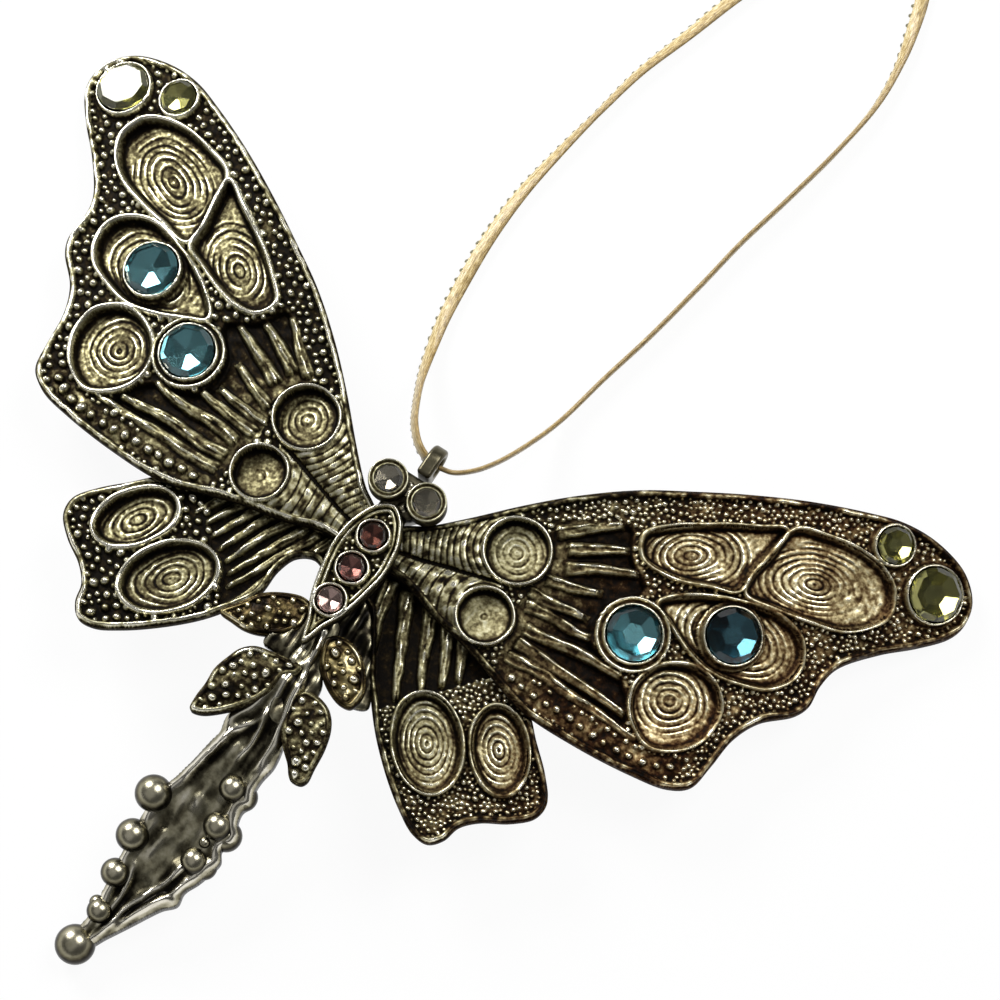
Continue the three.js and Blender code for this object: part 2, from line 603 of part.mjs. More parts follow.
function bailGeometry() {
  const shape = new THREE.Shape();
  shape.moveTo(BAIL_FOOT, BAIL_HEIGHT - BAIL_RADIUS);
  shape.lineTo(BAIL_CENTRE_Y, BAIL_HEIGHT - BAIL_RADIUS);
  shape.absarc(BAIL_CENTRE_Y, BAIL_HEIGHT, BAIL_RADIUS, -Math.PI / 2, Math.PI / 2, false);
  shape.lineTo(BAIL_FOOT, BAIL_HEIGHT + BAIL_RADIUS);
  shape.closePath();
  const hole = new THREE.Path();
  hole.absarc(BAIL_CENTRE_Y, BAIL_HEIGHT, BAIL_HOLE_RADIUS, 0, 2 * Math.PI, false);
  shape.holes.push(hole);
  const geometry = new THREE.ExtrudeGeometry(shape, {
    depth: BAIL_WIDTH, bevelEnabled: false, curveSegments: BAIL_STEPS,
  });
  geometry.rotateX(Math.PI / 2);
  geometry.rotateZ(Math.PI / 2);
  geometry.translate(BAIL_X - BAIL_WIDTH / 2, 0, 0);
  return geometry;
}

// Braid

function cordGeometry(route) {
  const points = route.map(([x, y, height]) => new THREE.Vector3(x, y, FLOOR + height));
  const path = new THREE.CatmullRomCurve3(points, false, 'centripetal');
  const section = new THREE.Shape(circle(0, 0, CORD_TUBE / 2, CORD_SIDES));
  return new THREE.ExtrudeGeometry(section, { steps: CORD_STEPS, extrudePath: path, bevelEnabled: false });
}

function knot() {
  const [x, y, height] = KNOT_PLACE;
  const lump = new THREE.SphereGeometry(KNOT_RADIUS, KNOT_SIDES, KNOT_RINGS);
  lump.scale(...KNOT_SHAPE);
  lump.translate(x, y, FLOOR + height);
  let body = solid(lump);
  for (const side of [-1, 1]) {
    const end = new THREE.CylinderGeometry(CORD_TUBE / 2, CORD_TUBE / 2, KNOT_TAIL_LENGTH, CORD_SIDES);
    end.translate(0, KNOT_TAIL_LENGTH / 2, 0);
    end.rotateX(-Math.atan(height / KNOT_TAIL_LENGTH) / 2);
    end.rotateZ(-side * KNOT_TAIL_SPREAD);
    end.translate(x, y, FLOOR + height);
    body = body.add(solid(end));
  }
  return body;
}

// Assembly

const ornament = new THREE.Group();
const metalwork = new THREE.Group();
const braid = new THREE.Group();
ornament.add(metalwork, braid);

function meshGeometry(body, mirrored) {
  const { vertProperties, triVerts } = body.getMesh();
  const positions = new Float32Array(vertProperties);
  const index = new Uint32Array(triVerts);
  if (mirrored) {
    for (let i = 0; i < positions.length; i += 3) positions[i] = -positions[i];
    for (let i = 0; i < index.length; i += 3) [index[i], index[i + 1]] = [index[i + 1], index[i]];
  }
  const geometry = new THREE.BufferGeometry();
  geometry.setAttribute('position', new THREE.BufferAttribute(positions, 3));
  geometry.setIndex(new THREE.BufferAttribute(index, 1));
  geometry.computeVertexNormals();
  return geometry;
}

function place(group, name, geometry, finish) {
  const mesh = new THREE.Mesh(geometry, finish);
  mesh.name = name;
  group.add(mesh);
  return mesh;
}

const fore = foreWing();
for (const [side, sign] of [['left', -1], ['right', 1]]) {
  place(metalwork, `fore_wing_${side}`, meshGeometry(fore, sign < 0), gold);
  place(metalwork, `hind_wing_${side}`, meshGeometry(hindWing(HIND_INNER[side]), sign < 0), gold);
  for (const { name, x, y, radius, finish } of WING_STONES) {
    const stone = place(metalwork, `${name}_${side}`, stoneGeometry(radius), finish);
    const seat = onWing(x, y).multiply(at(0, 0, WING_GIRDLE));
    stone.position.setFromMatrixPosition(seat);
    stone.position.x *= sign;
    stone.rotation.y = sign * Math.atan(dropSlope(x));
  }
}
place(metalwork, 'body_casting', meshGeometry(bodyCasting(), false), pewter);
place(metalwork, 'hanging_bail', bailGeometry(), pewter);
for (const { name, x, y, radius, girdle, finish } of BODY_STONES) {
  place(metalwork, name, stoneGeometry(radius), finish).position.set(x, y, girdle);
}
place(braid, 'cord_left', cordGeometry(CORD_LEFT_ROUTE), satin);
place(braid, 'cord_right', cordGeometry(CORD_RIGHT_ROUTE), satin);
place(braid, 'cord_knot', meshGeometry(knot(), false), satin);

// The origin is under the middle of the metalwork, on the surface that it lies on.
metalwork.updateMatrixWorld(true);
const span = new THREE.Box3().setFromObject(metalwork, true);
ornament.position.set(-(span.min.x + span.max.x) / 2, -(span.min.y + span.max.y) / 2, -span.min.z);

export default ornament;
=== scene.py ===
# Dragonfly ornament: antiqued gold-tone castings, cut glass stones and a flat satin braid.
import math

import bmesh
import bpy
import numpy as np
from bmesh.types import BMEdge, BMVert
from mathutils import Matrix, Vector


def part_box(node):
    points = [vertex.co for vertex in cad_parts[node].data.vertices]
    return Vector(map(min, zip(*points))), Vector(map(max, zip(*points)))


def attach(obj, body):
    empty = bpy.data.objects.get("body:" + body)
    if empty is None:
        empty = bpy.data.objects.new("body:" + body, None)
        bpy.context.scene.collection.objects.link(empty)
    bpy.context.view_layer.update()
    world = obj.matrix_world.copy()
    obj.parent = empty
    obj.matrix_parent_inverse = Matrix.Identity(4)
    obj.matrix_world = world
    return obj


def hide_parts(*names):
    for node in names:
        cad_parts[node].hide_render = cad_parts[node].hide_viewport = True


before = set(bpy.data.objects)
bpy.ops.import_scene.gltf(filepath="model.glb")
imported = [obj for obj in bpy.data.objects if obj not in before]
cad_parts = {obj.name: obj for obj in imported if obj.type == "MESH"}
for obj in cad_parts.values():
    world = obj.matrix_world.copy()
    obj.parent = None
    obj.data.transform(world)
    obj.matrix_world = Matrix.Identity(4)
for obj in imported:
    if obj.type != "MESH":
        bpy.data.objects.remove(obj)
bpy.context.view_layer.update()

# Millimetres in the ornament's own frame: the origin is on the middle pink stone's axis, in the wing plane,
# with +X to the right wing, +Y to the head and +Z to the front.
MM = 0.001
BAIL_RISE = 0.6
pink_low, pink_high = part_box("pink_stone_middle")
bail_low, bail_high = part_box("hanging_bail")
ORIGIN = (pink_low + pink_high) / 2
ORIGIN.z = (bail_low.z + bail_high.z) / 2 - BAIL_RISE * MM
TO_ROW = Matrix.Translation(ORIGIN) @ Matrix.Scale(MM, 4)
FLOOR = -ORIGIN.z / MM

# Camera
VIEW_AZIMUTH = 33.0
VIEW_ELEVATION = 76.5
VIEW_DISTANCE = 520.3
VIEW_AIM = Vector((10.72, 18.41, 0))
LENS = 144.8
SENSOR = 36

# Wings
DROOP_START = 8
DROOP_RATE = 0.0032
FORE_THICK = 1.8
HIND_THICK = 1.6
SEAT_GAP = 0.3
HIND_TOP = -FORE_THICK - SEAT_GAP
FORE_PITCH = 0.15
HIND_PITCH = 0.13
BODY_PITCH = 0.12
TAIL_PITCH = 0.14
BORDER_HALF = 0.32
BORDER_LEDGE = 0.2
BORDER_HEIGHT = 0.7
GROUND = -0.3
BLANK_TONE = 0.4
SIDES = ("left", "right")

FORE_OUTLINE = [
    (1.5, 3.2), (6.5, 2.6), (12, 0.9), (17, 0), (22, -1.4), (28, -3), (36, -2.9), (44, -1.9), (48.8, -0.7),
    (51.2, 1.2), (51.9, 5), (52.4, 9.5), (54, 13.2), (57.4, 16.8), (58.3, 19), (58.1, 22), (58.7, 25.2),
    (62.3, 30.1), (66, 33.9), (68.9, 37.6), (69.6, 40.2), (68.9, 43), (66, 45.6), (61, 46.7), (56, 46.2),
    (51, 44.3), (44, 41), (37, 37.1), (31, 33.4), (25, 29.5), (19, 24.6), (14, 19.8), (8.5, 14), (5, 10.6),
    (1.5, 7.9),
]
# A row of larger beads along the trailing edge of the fore wing, left and right
BEAD_ROW = [(23.7, -0.2), (27.8, -0.5), (32.1, -0.4), (36.1, -0.5), (40.6, -0.4), (44.6, 0.2), (47.6, 1.7)]
BEAD_RADIUS = (0.8, 0.58)
BEAD_GROUND = (0.26, 0.04)
BEAD_PITCH = 1.8
BEAD_RISE = 1.3
BEAD_STRIP = 1.8

# The hind wings' edges next to the body, which differ, and the rest of their outline
HIND_INNER = (
    [(1.5, -2.2), (5.4, -0.8), (7.6, -2), (8.6, -4.6), (8.9, -8.6), (11.6, -13)],
    [(1.5, -2.2), (3.6, -2.2), (5.6, -4.4), (7.8, -8.1), (10, -11.2), (11.6, -13.2)],
)
HIND_OUTLINE = [
    (14, -15.9), (18, -19.5), (21.6, -22.1), (24.6, -23.7), (27, -23.8), (28.5, -22.2), (29.2, -19.8),
    (31, -17.8), (34.4, -15.6), (36.7, -13.2), (36.9, -10.8), (34.8, -8), (31.5, -5), (28, -1.8), (20, 1.6),
    (10, 3), (1.5, 3),
]
CELL_TIP = [
    (43.8, 26.2), (48, 27), (52.3, 28.1), (56.7, 29.8), (59.3, 32.3), (60.3, 35), (59.2, 37.8), (56.8, 39.2),
    (53, 39.5), (48.6, 38.5), (44.6, 36.7), (44, 32), (43.4, 28.8),
]
CELL_LEADING = [
    (43.6, 36), (40.6, 34.3), (36, 31.4), (31.4, 27.9), (28.9, 25), (30.2, 22.6), (34.3, 22.5), (39.6, 24.5),
    (42.6, 26), (42.7, 29), (43.3, 32.3),
]
CELL_MIDDLE = [
    (35.2, 18.5), (37.6, 17.4), (41.2, 15.9), (45.3, 15.2), (49, 16), (52.4, 17.5), (54.2, 20), (54.3, 23),
    (52.8, 25.1), (49.4, 26.1), (44.4, 24.9), (38.6, 22),
]
CELL_TRAILING = [
    (38.4, 8.4), (38.9, 6), (40.6, 3.9), (43.8, 2.5), (47.5, 4.6), (49.2, 8), (48.8, 11.8), (46.2, 14),
    (42.9, 14), (39.7, 12),
]
# Each cell with the middle of its swirl
FORE_CELLS = [
    (CELL_TIP, (50.7, 32.6)),
    (CELL_LEADING, (35.5, 26.4)),
    (CELL_MIDDLE, (45.2, 20.4)),
    (CELL_TRAILING, (43.2, 9.0)),
]
# Where the left middle cell's floor turns smooth, towards the body, and the right tip cell's, towards the tip
SMOOTH_INNER = 40.4
SMOOTH_OUTER = 52
# The sunk bed of the fore wing's veins
VEIN_BED = [
    (20.6, 6), (22.2, 2.2), (30, 2), (40, 2.4), (38.4, 6), (35.6, 8.2), (30.6, 9.6), (30, 14.6), (33, 19),
    (29, 22), (27, 25), (22, 21.5), (18.6, 18.8), (21.4, 14), (20.4, 10.4),
]
# It sinks and darkens away from the dishes: from which place, how far off it starts and how far it runs
BED_MIDDLE = (15, 9)
BED_START = 7.5
BED_RUN = 9
# The veins, each from its root to its outer end
VEINS = [
    ((21.7, 2), (43, 2.2)), ((21.8, 4.2), (39.8, 4)), ((21.8, 6.2), (36.8, 8)), ((20.4, 8.4), (30.8, 10)),
    ((19.6, 10.2), (28.8, 11.7)), ((20.6, 12.6), (28.6, 15.5)), ((22, 15.4), (31.4, 20.4)),
    ((20.9, 17.8), (28.8, 22.2)), ((18.8, 18.4), (26.2, 25)),
]
VEIN_HALF = 1.2
VEIN_LEVELS = (-0.95, 0.4)
# Strands at the root of the left and of the right hind wing
HIND_VEINS = [
    [
        ((4.4, 3), (12.2, -12.8)), ((6.4, 3), (12.9, -10.6)), ((8.2, 3), (14, -9)),
        ((10.2, 3), (15.4, -7.8)), ((12.6, 2.6), (17, -6.8)), ((14.6, 2), (18.6, -6)),
        ((16.8, 1.6), (20.2, -5.2)), ((19.2, 1), (22.6, -4.4)),
    ],
    [
        ((4.3, 3), (9.5, -16.1)), ((6.8, 3), (13.7, -11.2)), ((10.3, 3), (16, -8.5)),
        ((13.1, 3), (17.9, -6.4)), ((16, 3), (19.4, -4.6)),
    ],
]
HIND_VEIN_HALF = (0.95, 1.25)
HIND_VEIN_LEVELS = (-0.75, 0.35)
# Slope and start of the line where the hind wing's root ends, and how deep the root lies under the ground
HIND_ROOT = (1.16, -27.1)
HIND_ROOT_SINK = 0.35
# Round dishes, each at the wide end of a ribbed fan, as (x, y, radius, fan's root)
DISCS = [(16.3, 13.9, 4.65, (4.6, 8)), (17.4, 4.5, 4.0, (5.2, 3.6))]
# Oval cells of the hind wing, as (x, y, long half, short half, turn)
OVALS = [(20, -13, 6.4, 4.3, -0.87), (28.2, -8.6, 5.6, 3.5, -0.9)]

# Stones
AQUA_RADIUS = 3.55
GREEN_RADIUS = 3.55
GREEN_SMALL_RADIUS = 2.4
EYE_RADIUS = 1.9
PINK_RADIUS = 1.7
PINK_SPACING = 5
CUP_HEIGHT = 1.4
CUP_WALL = 0.75
WIDE_CUP_WALL = 1.1
# Stones of a wing, as (name, x, y, radius, cup wall)
WING_STONES = [
    ("green_stone_large", 64, 40.6, GREEN_RADIUS, CUP_WALL),
    ("green_stone_small", 56.3, 42.8, GREEN_SMALL_RADIUS, CUP_WALL),
    ("aqua_stone_outer", 45.2, 20.4, AQUA_RADIUS, CUP_WALL),
    ("aqua_stone_inner", 34.5, 13.2, AQUA_RADIUS, WIDE_CUP_WALL),
]
WING_GIRDLE = 1.05
PINK_GIRDLE = 2.95
EYE_GIRDLE = 3.55
EYES = [("eye_stone_left", -2.45, 12.3), ("eye_stone_right", 3.45, 12.3)]
PINKS = [
    ("pink_stone_upper", 0, PINK_SPACING),
    ("pink_stone_middle", 0, 0),
    ("pink_stone_lower", 0, -PINK_SPACING),
]
TABLE_SHARE = 0.78
CROWN_SHARE = 0.26
GIRDLE_SHARE = 0.03
CROWN_FACETS = 8
PAVILION_FACETS = 6
# Width of the flat culet on a shallow and on a deep stone
CULET_SHARES = (0.15, 0.36)
DEEP_SLOPE = 0.3
# How each stone is set by hand: its turn in degrees, the lean of its table to +X and to +Y, and the slope of
# its pavilion
SEATS = {
    "green_stone_large_left": (0, 0.03, 0.1, 0.12),
    "green_stone_small_left": (46, 0.08, -0.13, 0.115),
    "aqua_stone_outer_left": (4, 0.05, -0.08, 0.123),
    "aqua_stone_inner_left": (18, 0.02, -0.04, 0.13),
    "green_stone_large_right": (57, 0, 0, 0.45),
    "green_stone_small_right": (57, 0, 0, 0.43),
    "aqua_stone_outer_right": (53, 0, 0, 0.385),
    "aqua_stone_inner_right": (51, 0, 0, 0.341),
    "pink_stone_upper": (30, 0, 0, 0.28),
    "pink_stone_middle": (48, 0, 0, 0.275),
    "pink_stone_lower": (42, 0, 0, 0.265),
    "eye_stone_left": (18, -0.077, -0.058, 0.176),
    "eye_stone_right": (15, 0, 0, 0.25),
}

# Body
THORAX_HALF = [(0, -11.6), (1.3, -8.4), (2.6, -5.6), (3.6, -1.8), (4.1, 2), (3.5, 6), (1.9, 8.9), (0, 10)]
THORAX_OUTLINE = THORAX_HALF + [(-x, y) for x, y in THORAX_HALF[-2:0:-1]]
THORAX_LOW = 0.3
THORAX_EDGE = 1.9
TAIL_OUTLINE = [
    (-0.4, -8), (-0.6, -13), (-0.8, -17), (-1.9, -21.4), (-3.3, -24), (-3, -26.4), (-3.4, -28),
    (-3.9, -30.4), (-4.7, -33.6), (-5.7, -36.5), (-6, -40), (-5.8, -44), (-5.4, -49), (-5, -54),
    (-5.4, -58), (-3.6, -58.6), (-1.6, -55.6), (0.4, -52.4), (1.6, -50.4), (2.6, -48.9), (4, -47.4),
    (3.9, -45.6), (4.8, -43.7), (5.4, -42), (5.9, -40), (5.2, -38.6), (6.2, -37.4), (6.2, -36),
    (5.2, -34.8), (4.9, -33.2), (5.5, -31.9), (4.9, -30.2), (4.9, -28.6), (5.3, -26.6), (5.2, -24.8),
    (4.7, -22.6), (4.1, -20.2), (3.6, -17), (2.8, -13), (1.9, -8),
]
# Soft ridges on the tail, as (half width, path)
TAIL_RIDGES = [
    (0.55, [
        (1.4, -12), (0.9, -16.5), (0.9, -19.1), (0.5, -22.4), (-1.2, -25), (-2.1, -27.6), (-3.2, -31),
        (-4, -34),
    ]),
    (0.6, [(2.4, -15), (2.9, -19.5), (3.6, -24), (3.9, -28.4)]),
    (0.5, [(2.9, -39.4), (2.1, -43.3), (1, -46.4), (-1.2, -50.9), (-2.8, -57)]),
    (0.45, [(4.2, -43), (2.9, -46.4), (1, -49.6), (-1.4, -54)]),
    (0.4, [(1, -21), (1.4, -25), (0.6, -29)]),
    (0.45, [(-3.6, -45), (-2.8, -50), (-3.6, -57)]),
]
# The tail's top along its length, as (y, height)
TAIL_PROFILE = [
    (-66, -12.2), (-58, -10.2), (-50, -8.1), (-42, -5.8), (-34, -3.4), (-27, -1.2), (-20, 0.7), (-13, 1.6),
    (-4, 1.8),
]
TAIL_THICK = 3
TAIL_ROUND = 1.3
TAIL_EDGE_DROP = 0.9
TAIL_SINK = 0.6
TAIL_RIM_PLACE = 0.75
TAIL_RIM_HALF = 0.45
TAIL_RIDGE_HEIGHT = 0.55
# Balls on the tail's edges, as (x, y, radius, sink)
TAIL_BALLS = [
    (-6.1, -37.3, 2.45, 0.4), (-5.6, -43.1, 2.2, 0.4), (-5, -48.2, 1.9, 0.4), (-4.1, -53.3, 1.7, 0.4),
    (-5, -52.6, 1, 0.5), (2.3, -31.4, 1.8, 0.4), (3.2, -36.4, 1.9, 0.4), (2.9, -41.6, 1.75, 0.4),
    (3.9, -31.5, 1.9, 1.9), (4.6, -36.7, 2.1, 2), (4.2, -41.4, 1.8, 1.9), (2.9, -39, 0.75, 0.2),
]
TAIL_END = (-4.6, -58.5, 2.65)
# Leaves, as (name, rise, finish, tones of the ground and the granules, outline)
LEAVES = [
    ("leaf_upper_left", 0, "amber", (0.3, 0.5), [
        (-11.4, -13.6), (-9.9, -11.2), (-8.2, -8.7), (-5.7, -7), (-3.3, -6.2), (-1.8, -6.6), (-1.4, -8.2),
        (-1.5, -9.8), (-2.8, -11.6), (-5.1, -13.2), (-7.3, -13.9), (-9.3, -13.9),
    ]),
    ("leaf_lower_left", 0.5, "gold", (0.28, 0.64), [
        (-7.4, -26.3), (-7.7, -24.6), (-7.6, -22.5), (-7.7, -20.2), (-7.1, -18), (-6.4, -16.3), (-5, -15),
        (-2.8, -14.4), (-0.3, -14), (1.6, -14), (1.6, -15.2), (0.3, -16.4), (-0.1, -18.9), (-1.4, -21.6),
        (-3.4, -24), (-6, -26.1),
    ]),
    ("leaf_upper_right", 0.3, "amber", (0.56, 0.4), [
        (2.1, -9.3), (2.9, -8.2), (4.5, -7.8), (6.3, -8.2), (7.8, -9.1), (9.3, -10.9), (10.1, -12.5),
        (10.1, -13.9), (9.7, -15.1), (8.3, -15.4), (6.5, -14.9), (4.5, -13.7), (2.9, -11.9),
    ]),
    ("leaf_lower_right", 0.1, "gold", (0.36, 0.64), [
        (3.7, -16.1), (6, -16.1), (7.8, -16.9), (9, -18.5), (9.8, -21.1), (10.1, -24), (10.3, -26),
        (9.8, -26.8), (8.3, -26.9), (6.9, -25.4), (5.3, -24), (3.7, -22), (2.9, -19.4), (2.9, -17.2),
    ]),
]
LEAF_LOW = -0.8
LEAF_EDGE = 0.6

WAIST = [
    (-1.6, -7), (2.4, -6.6), (3.4, -9.5), (3.8, -12.5), (5, -14.6), (5.2, -16.4), (4.4, -18), (3.6, -21.6),
    (1.4, -21.4), (0.4, -18.4), (-0.4, -15.4), (-2.6, -14.2), (-4.4, -14), (-4.6, -12.4), (-2.9, -10.6),
]
WEB = [
    (2, -1.6), (4.4, -2.6), (6.2, -4.8), (8.4, -8.3), (10.4, -11.4), (11.2, -13.6), (9, -14.6),
    (5.4, -13.4), (3, -11), (1.8, -7),
]

# Metal under the leaves' stems and beside the right hind wing, painted dark as the shade that falls there, as
# (name, outline, top, low, tone, node)
WAIST_PLATES = [
    ("waist_stems", WAIST, 0.7, -1, 0.3, "body_casting"),
    ("waist_web", WEB, -1.75, -3, 0.16, "hind_wing_right"),
]

# Head, spine and bail
HEAD_NECK = 9.2
HEAD_CROWN = 14.9
HEAD_LOW = -2.4
HEAD_TOP = 1.4
HEAD_ROUND = 0.4
EYE_CUP_LOW = BORDER_HEIGHT + SEAT_GAP
EYE_CUP_WALL = 0.45
SPINE_HALF = 2.2
SPINE_ENDS = (-9, 11)
SPINE_ROUND = 0.3
# Beads of solder, as (x, y, height, radius)
SOLDER = [(0.5, 12.4, 1.6, 0.75), (0.2, 13.4, 1.3, 0.6), (0.9, 10.4, 1.2, 0.8)]
BAIL_X = 0.9
BAIL_Y = 17.6
BAIL_WIDTH = 2
BAIL_RADIUS = 2.4
BAIL_HOLE = 1.35
BAIL_ROUND = 0.45

# Braid, a flat ribbon, along routes of (x, y, height above the floor)
BRAID_WIDTH = 2.6
BRAID_THICK = 0.7
CORD_LEFT_ROUTE = [
    (1.6, 17.6, 14.6), (0.2, 17.7, 14.6), (-1.8, 18.6, 14.3), (-4.2, 21, 12.4), (-6.4, 24.6, 8.6),
    (-8.4, 28.8, 4), (-9.8, 33, 1.4), (-11, 38.4, 0.7), (-11.8, 46.5, 0.7), (-12, 52, 0.7),
    (-11.7, 58.8, 0.7), (-10.5, 67, 0.7), (-9.2, 74, 0.7), (-7.6, 81.8, 0.7), (-5, 89.8, 0.7),
    (-2.3, 98.4, 0.7), (1, 106.5, 0.7), (5, 114, 0.8), (9.87, 120.36, 1.5), (11.1, 121.9, 1.9),
]
CORD_RIGHT_ROUTE = [
    (1.9, 17.6, 14.6), (3.6, 18, 14.5), (5.4, 19.8, 13), (7, 23, 10), (8.6, 28.4, 5.4), (10, 34.4, 1.8),
    (11.7, 42.7, 1.2), (13.6, 50.6, 1.2), (15.6, 60.9, 1.2), (16.9, 68.4, 1.2), (18.9, 77, 1.2),
    (20.9, 86.9, 1), (21.9, 95.2, 0.8), (21.5, 101.7, 0.7), (20.4, 107, 0.7), (18.8, 112.4, 0.7),
    (16.4, 117, 0.9), (13.48, 120.5, 1.5), (12.1, 121.9, 1.9),
]
# Twist of each strand in degrees, where 0 lies flat, at shares of its length
LEFT_TWIST = [(0, 70), (0.15, 62), (0.3, 8), (0.42, 25), (0.55, 62), (0.72, 30), (0.9, 5), (1, 0)]
RIGHT_TWIST = [(0, 75), (0.2, 78), (0.35, 86), (0.66, 86), (0.8, 60), (0.88, 10), (1, 0)]
KNOT_PLACE = (11.6, 122.3, 2)
KNOT_RADIUS = 2.4
KNOT_WIDTH = 2.4
KNOT_END_WIDTH = 1.9

# Steps round a small round piece
ROUND_STEPS = 48


# Curves and distances

def through(points, closed, steps):
    """A smooth centripetal curve through points, with a number of steps between neighbours."""
    p = np.asarray(points, float)
    if closed:
        p = np.concatenate([p[-1:], p, p[:2]])
    else:
        p = np.concatenate([2 * p[:1] - p[1:2], p, 2 * p[-1:] - p[-2:-1]])
    a, b, c, d = p[:-3], p[1:-2], p[2:-1], p[3:]
    ab, bc, cd = (np.sqrt(np.linalg.norm(v - u, axis=1))[:, None] for u, v in ((a, b), (b, c), (c, d)))
    start = bc * ((b - a) / ab - (c - a) / (ab + bc) + (c - b) / bc)
    end = bc * ((c - b) / bc - (d - b) / (bc + cd) + (d - c) / cd)
    t = np.linspace(0, 1, steps, endpoint=False)[None, :, None]
    b, c, start, end = (v[:, None] for v in (b, c, start, end))
    run = b + t * start + t**2 * (3 * (c - b) - 2 * start - end) + t**3 * (2 * (b - c) + start + end)
    run = run.reshape(-1, p.shape[1])
    return run if closed else np.concatenate([run, p[-2:-1]])


def segment_distance(x, y, start, end):
    """Squared distance to a straight segment."""
    (ax, ay), (bx, by) = start, end
    dx, dy = bx - ax, by - ay
    share = np.clip(((x - ax) * dx + (y - ay) * dy) / (dx * dx + dy * dy), 0, 1)
    return (x - ax - share * dx) ** 2 + (y - ay - share * dy) ** 2


def path_distance(x, y, path):
    """Distance to an open path."""
    nearest = np.full(x.shape, np.inf)
    for start, end in zip(path, path[1:]):
        nearest = np.minimum(nearest, segment_distance(x, y, start, end))
    return np.sqrt(nearest)


def inside_distance(x, y, outline):
    """Distance to a closed outline, positive inside it."""
    closed = np.concatenate([outline, outline[:1]])
    inside = np.zeros(x.shape, bool)
    for (ax, ay), (bx, by) in zip(closed, closed[1:]):
        if by != ay:
            inside ^= ((ay > y) != (by > y)) & (x < ax + (bx - ax) * (y - ay) / (by - ay))
    return np.where(inside, 1, -1) * path_distance(x, y, closed)


def along_line(x, y, start, end):
    """Signed distance across a straight line, distance along it, and its length."""
    (ax, ay), (bx, by) = start, end
    length = math.hypot(bx - ax, by - ay)
    dx, dy = (bx - ax) / length, (by - ay) / length
    return (y - ay) * dx - (x - ax) * dy, (x - ax) * dx + (y - ay) * dy, length


def ease(t):
    """A smooth step from 0 to 1."""
    t = np.clip(t, 0, 1)
    return t * t * (3 - 2 * t)


def dome(distance, half):
    """Height of a half-round section of unit height."""
    return np.sqrt(np.clip(1 - (distance / half) ** 2, 0, 1))


def notch(distance, half):
    """A soft notch: 1 at no distance, falling to 0."""
    return np.exp(-((distance / half) ** 2))


def wobble(x, y, size, seed):
    """Smooth irregular waves, about -1 to 1, of a wavelength in millimetres."""
    rng = np.random.default_rng(seed)
    total = np.zeros(np.broadcast(x, y).shape)
    count = 9
    for turn, phase, stretch in rng.uniform((0, 0, 0.7), (math.pi, 2 * math.pi, 1.5), (count, 3)):
        along = x * math.cos(turn) + y * math.sin(turn)
        total += np.sin(2 * math.pi * along / (size * stretch) + phase)
    return total / math.sqrt(2 * count)


def blurred(field, size):
    """A field blurred over a size in grid steps."""
    rows, columns = field.shape
    fy = np.fft.fftfreq(rows)[:, None]
    fx = np.fft.rfftfreq(columns)[None]
    kept = np.exp(-2 * (math.pi * size) ** 2 * (fx**2 + fy**2))
    return np.fft.irfft2(np.fft.rfft2(field) * kept, field.shape)


# Relief castings

OUTLINE_STEPS = 8
OUTSIDE_DROP = 0.8
# Painted shade: the outer side walls of each relief casting are painted dark
PAINTED_WALL_SHADE = 0.12
CAVITY = 0.35
CAVITY_PATINA = 1.15
GRANULE_RISE = 1.4
GRANULE_BED = GROUND - 0.1
ROW_SCATTER = 0.16
# Beaded rows along a wing's edge, as (distance from the edge, spacing)
GRANULE_ROWS = ((1.4, 1.5), (2.9, 1.5))


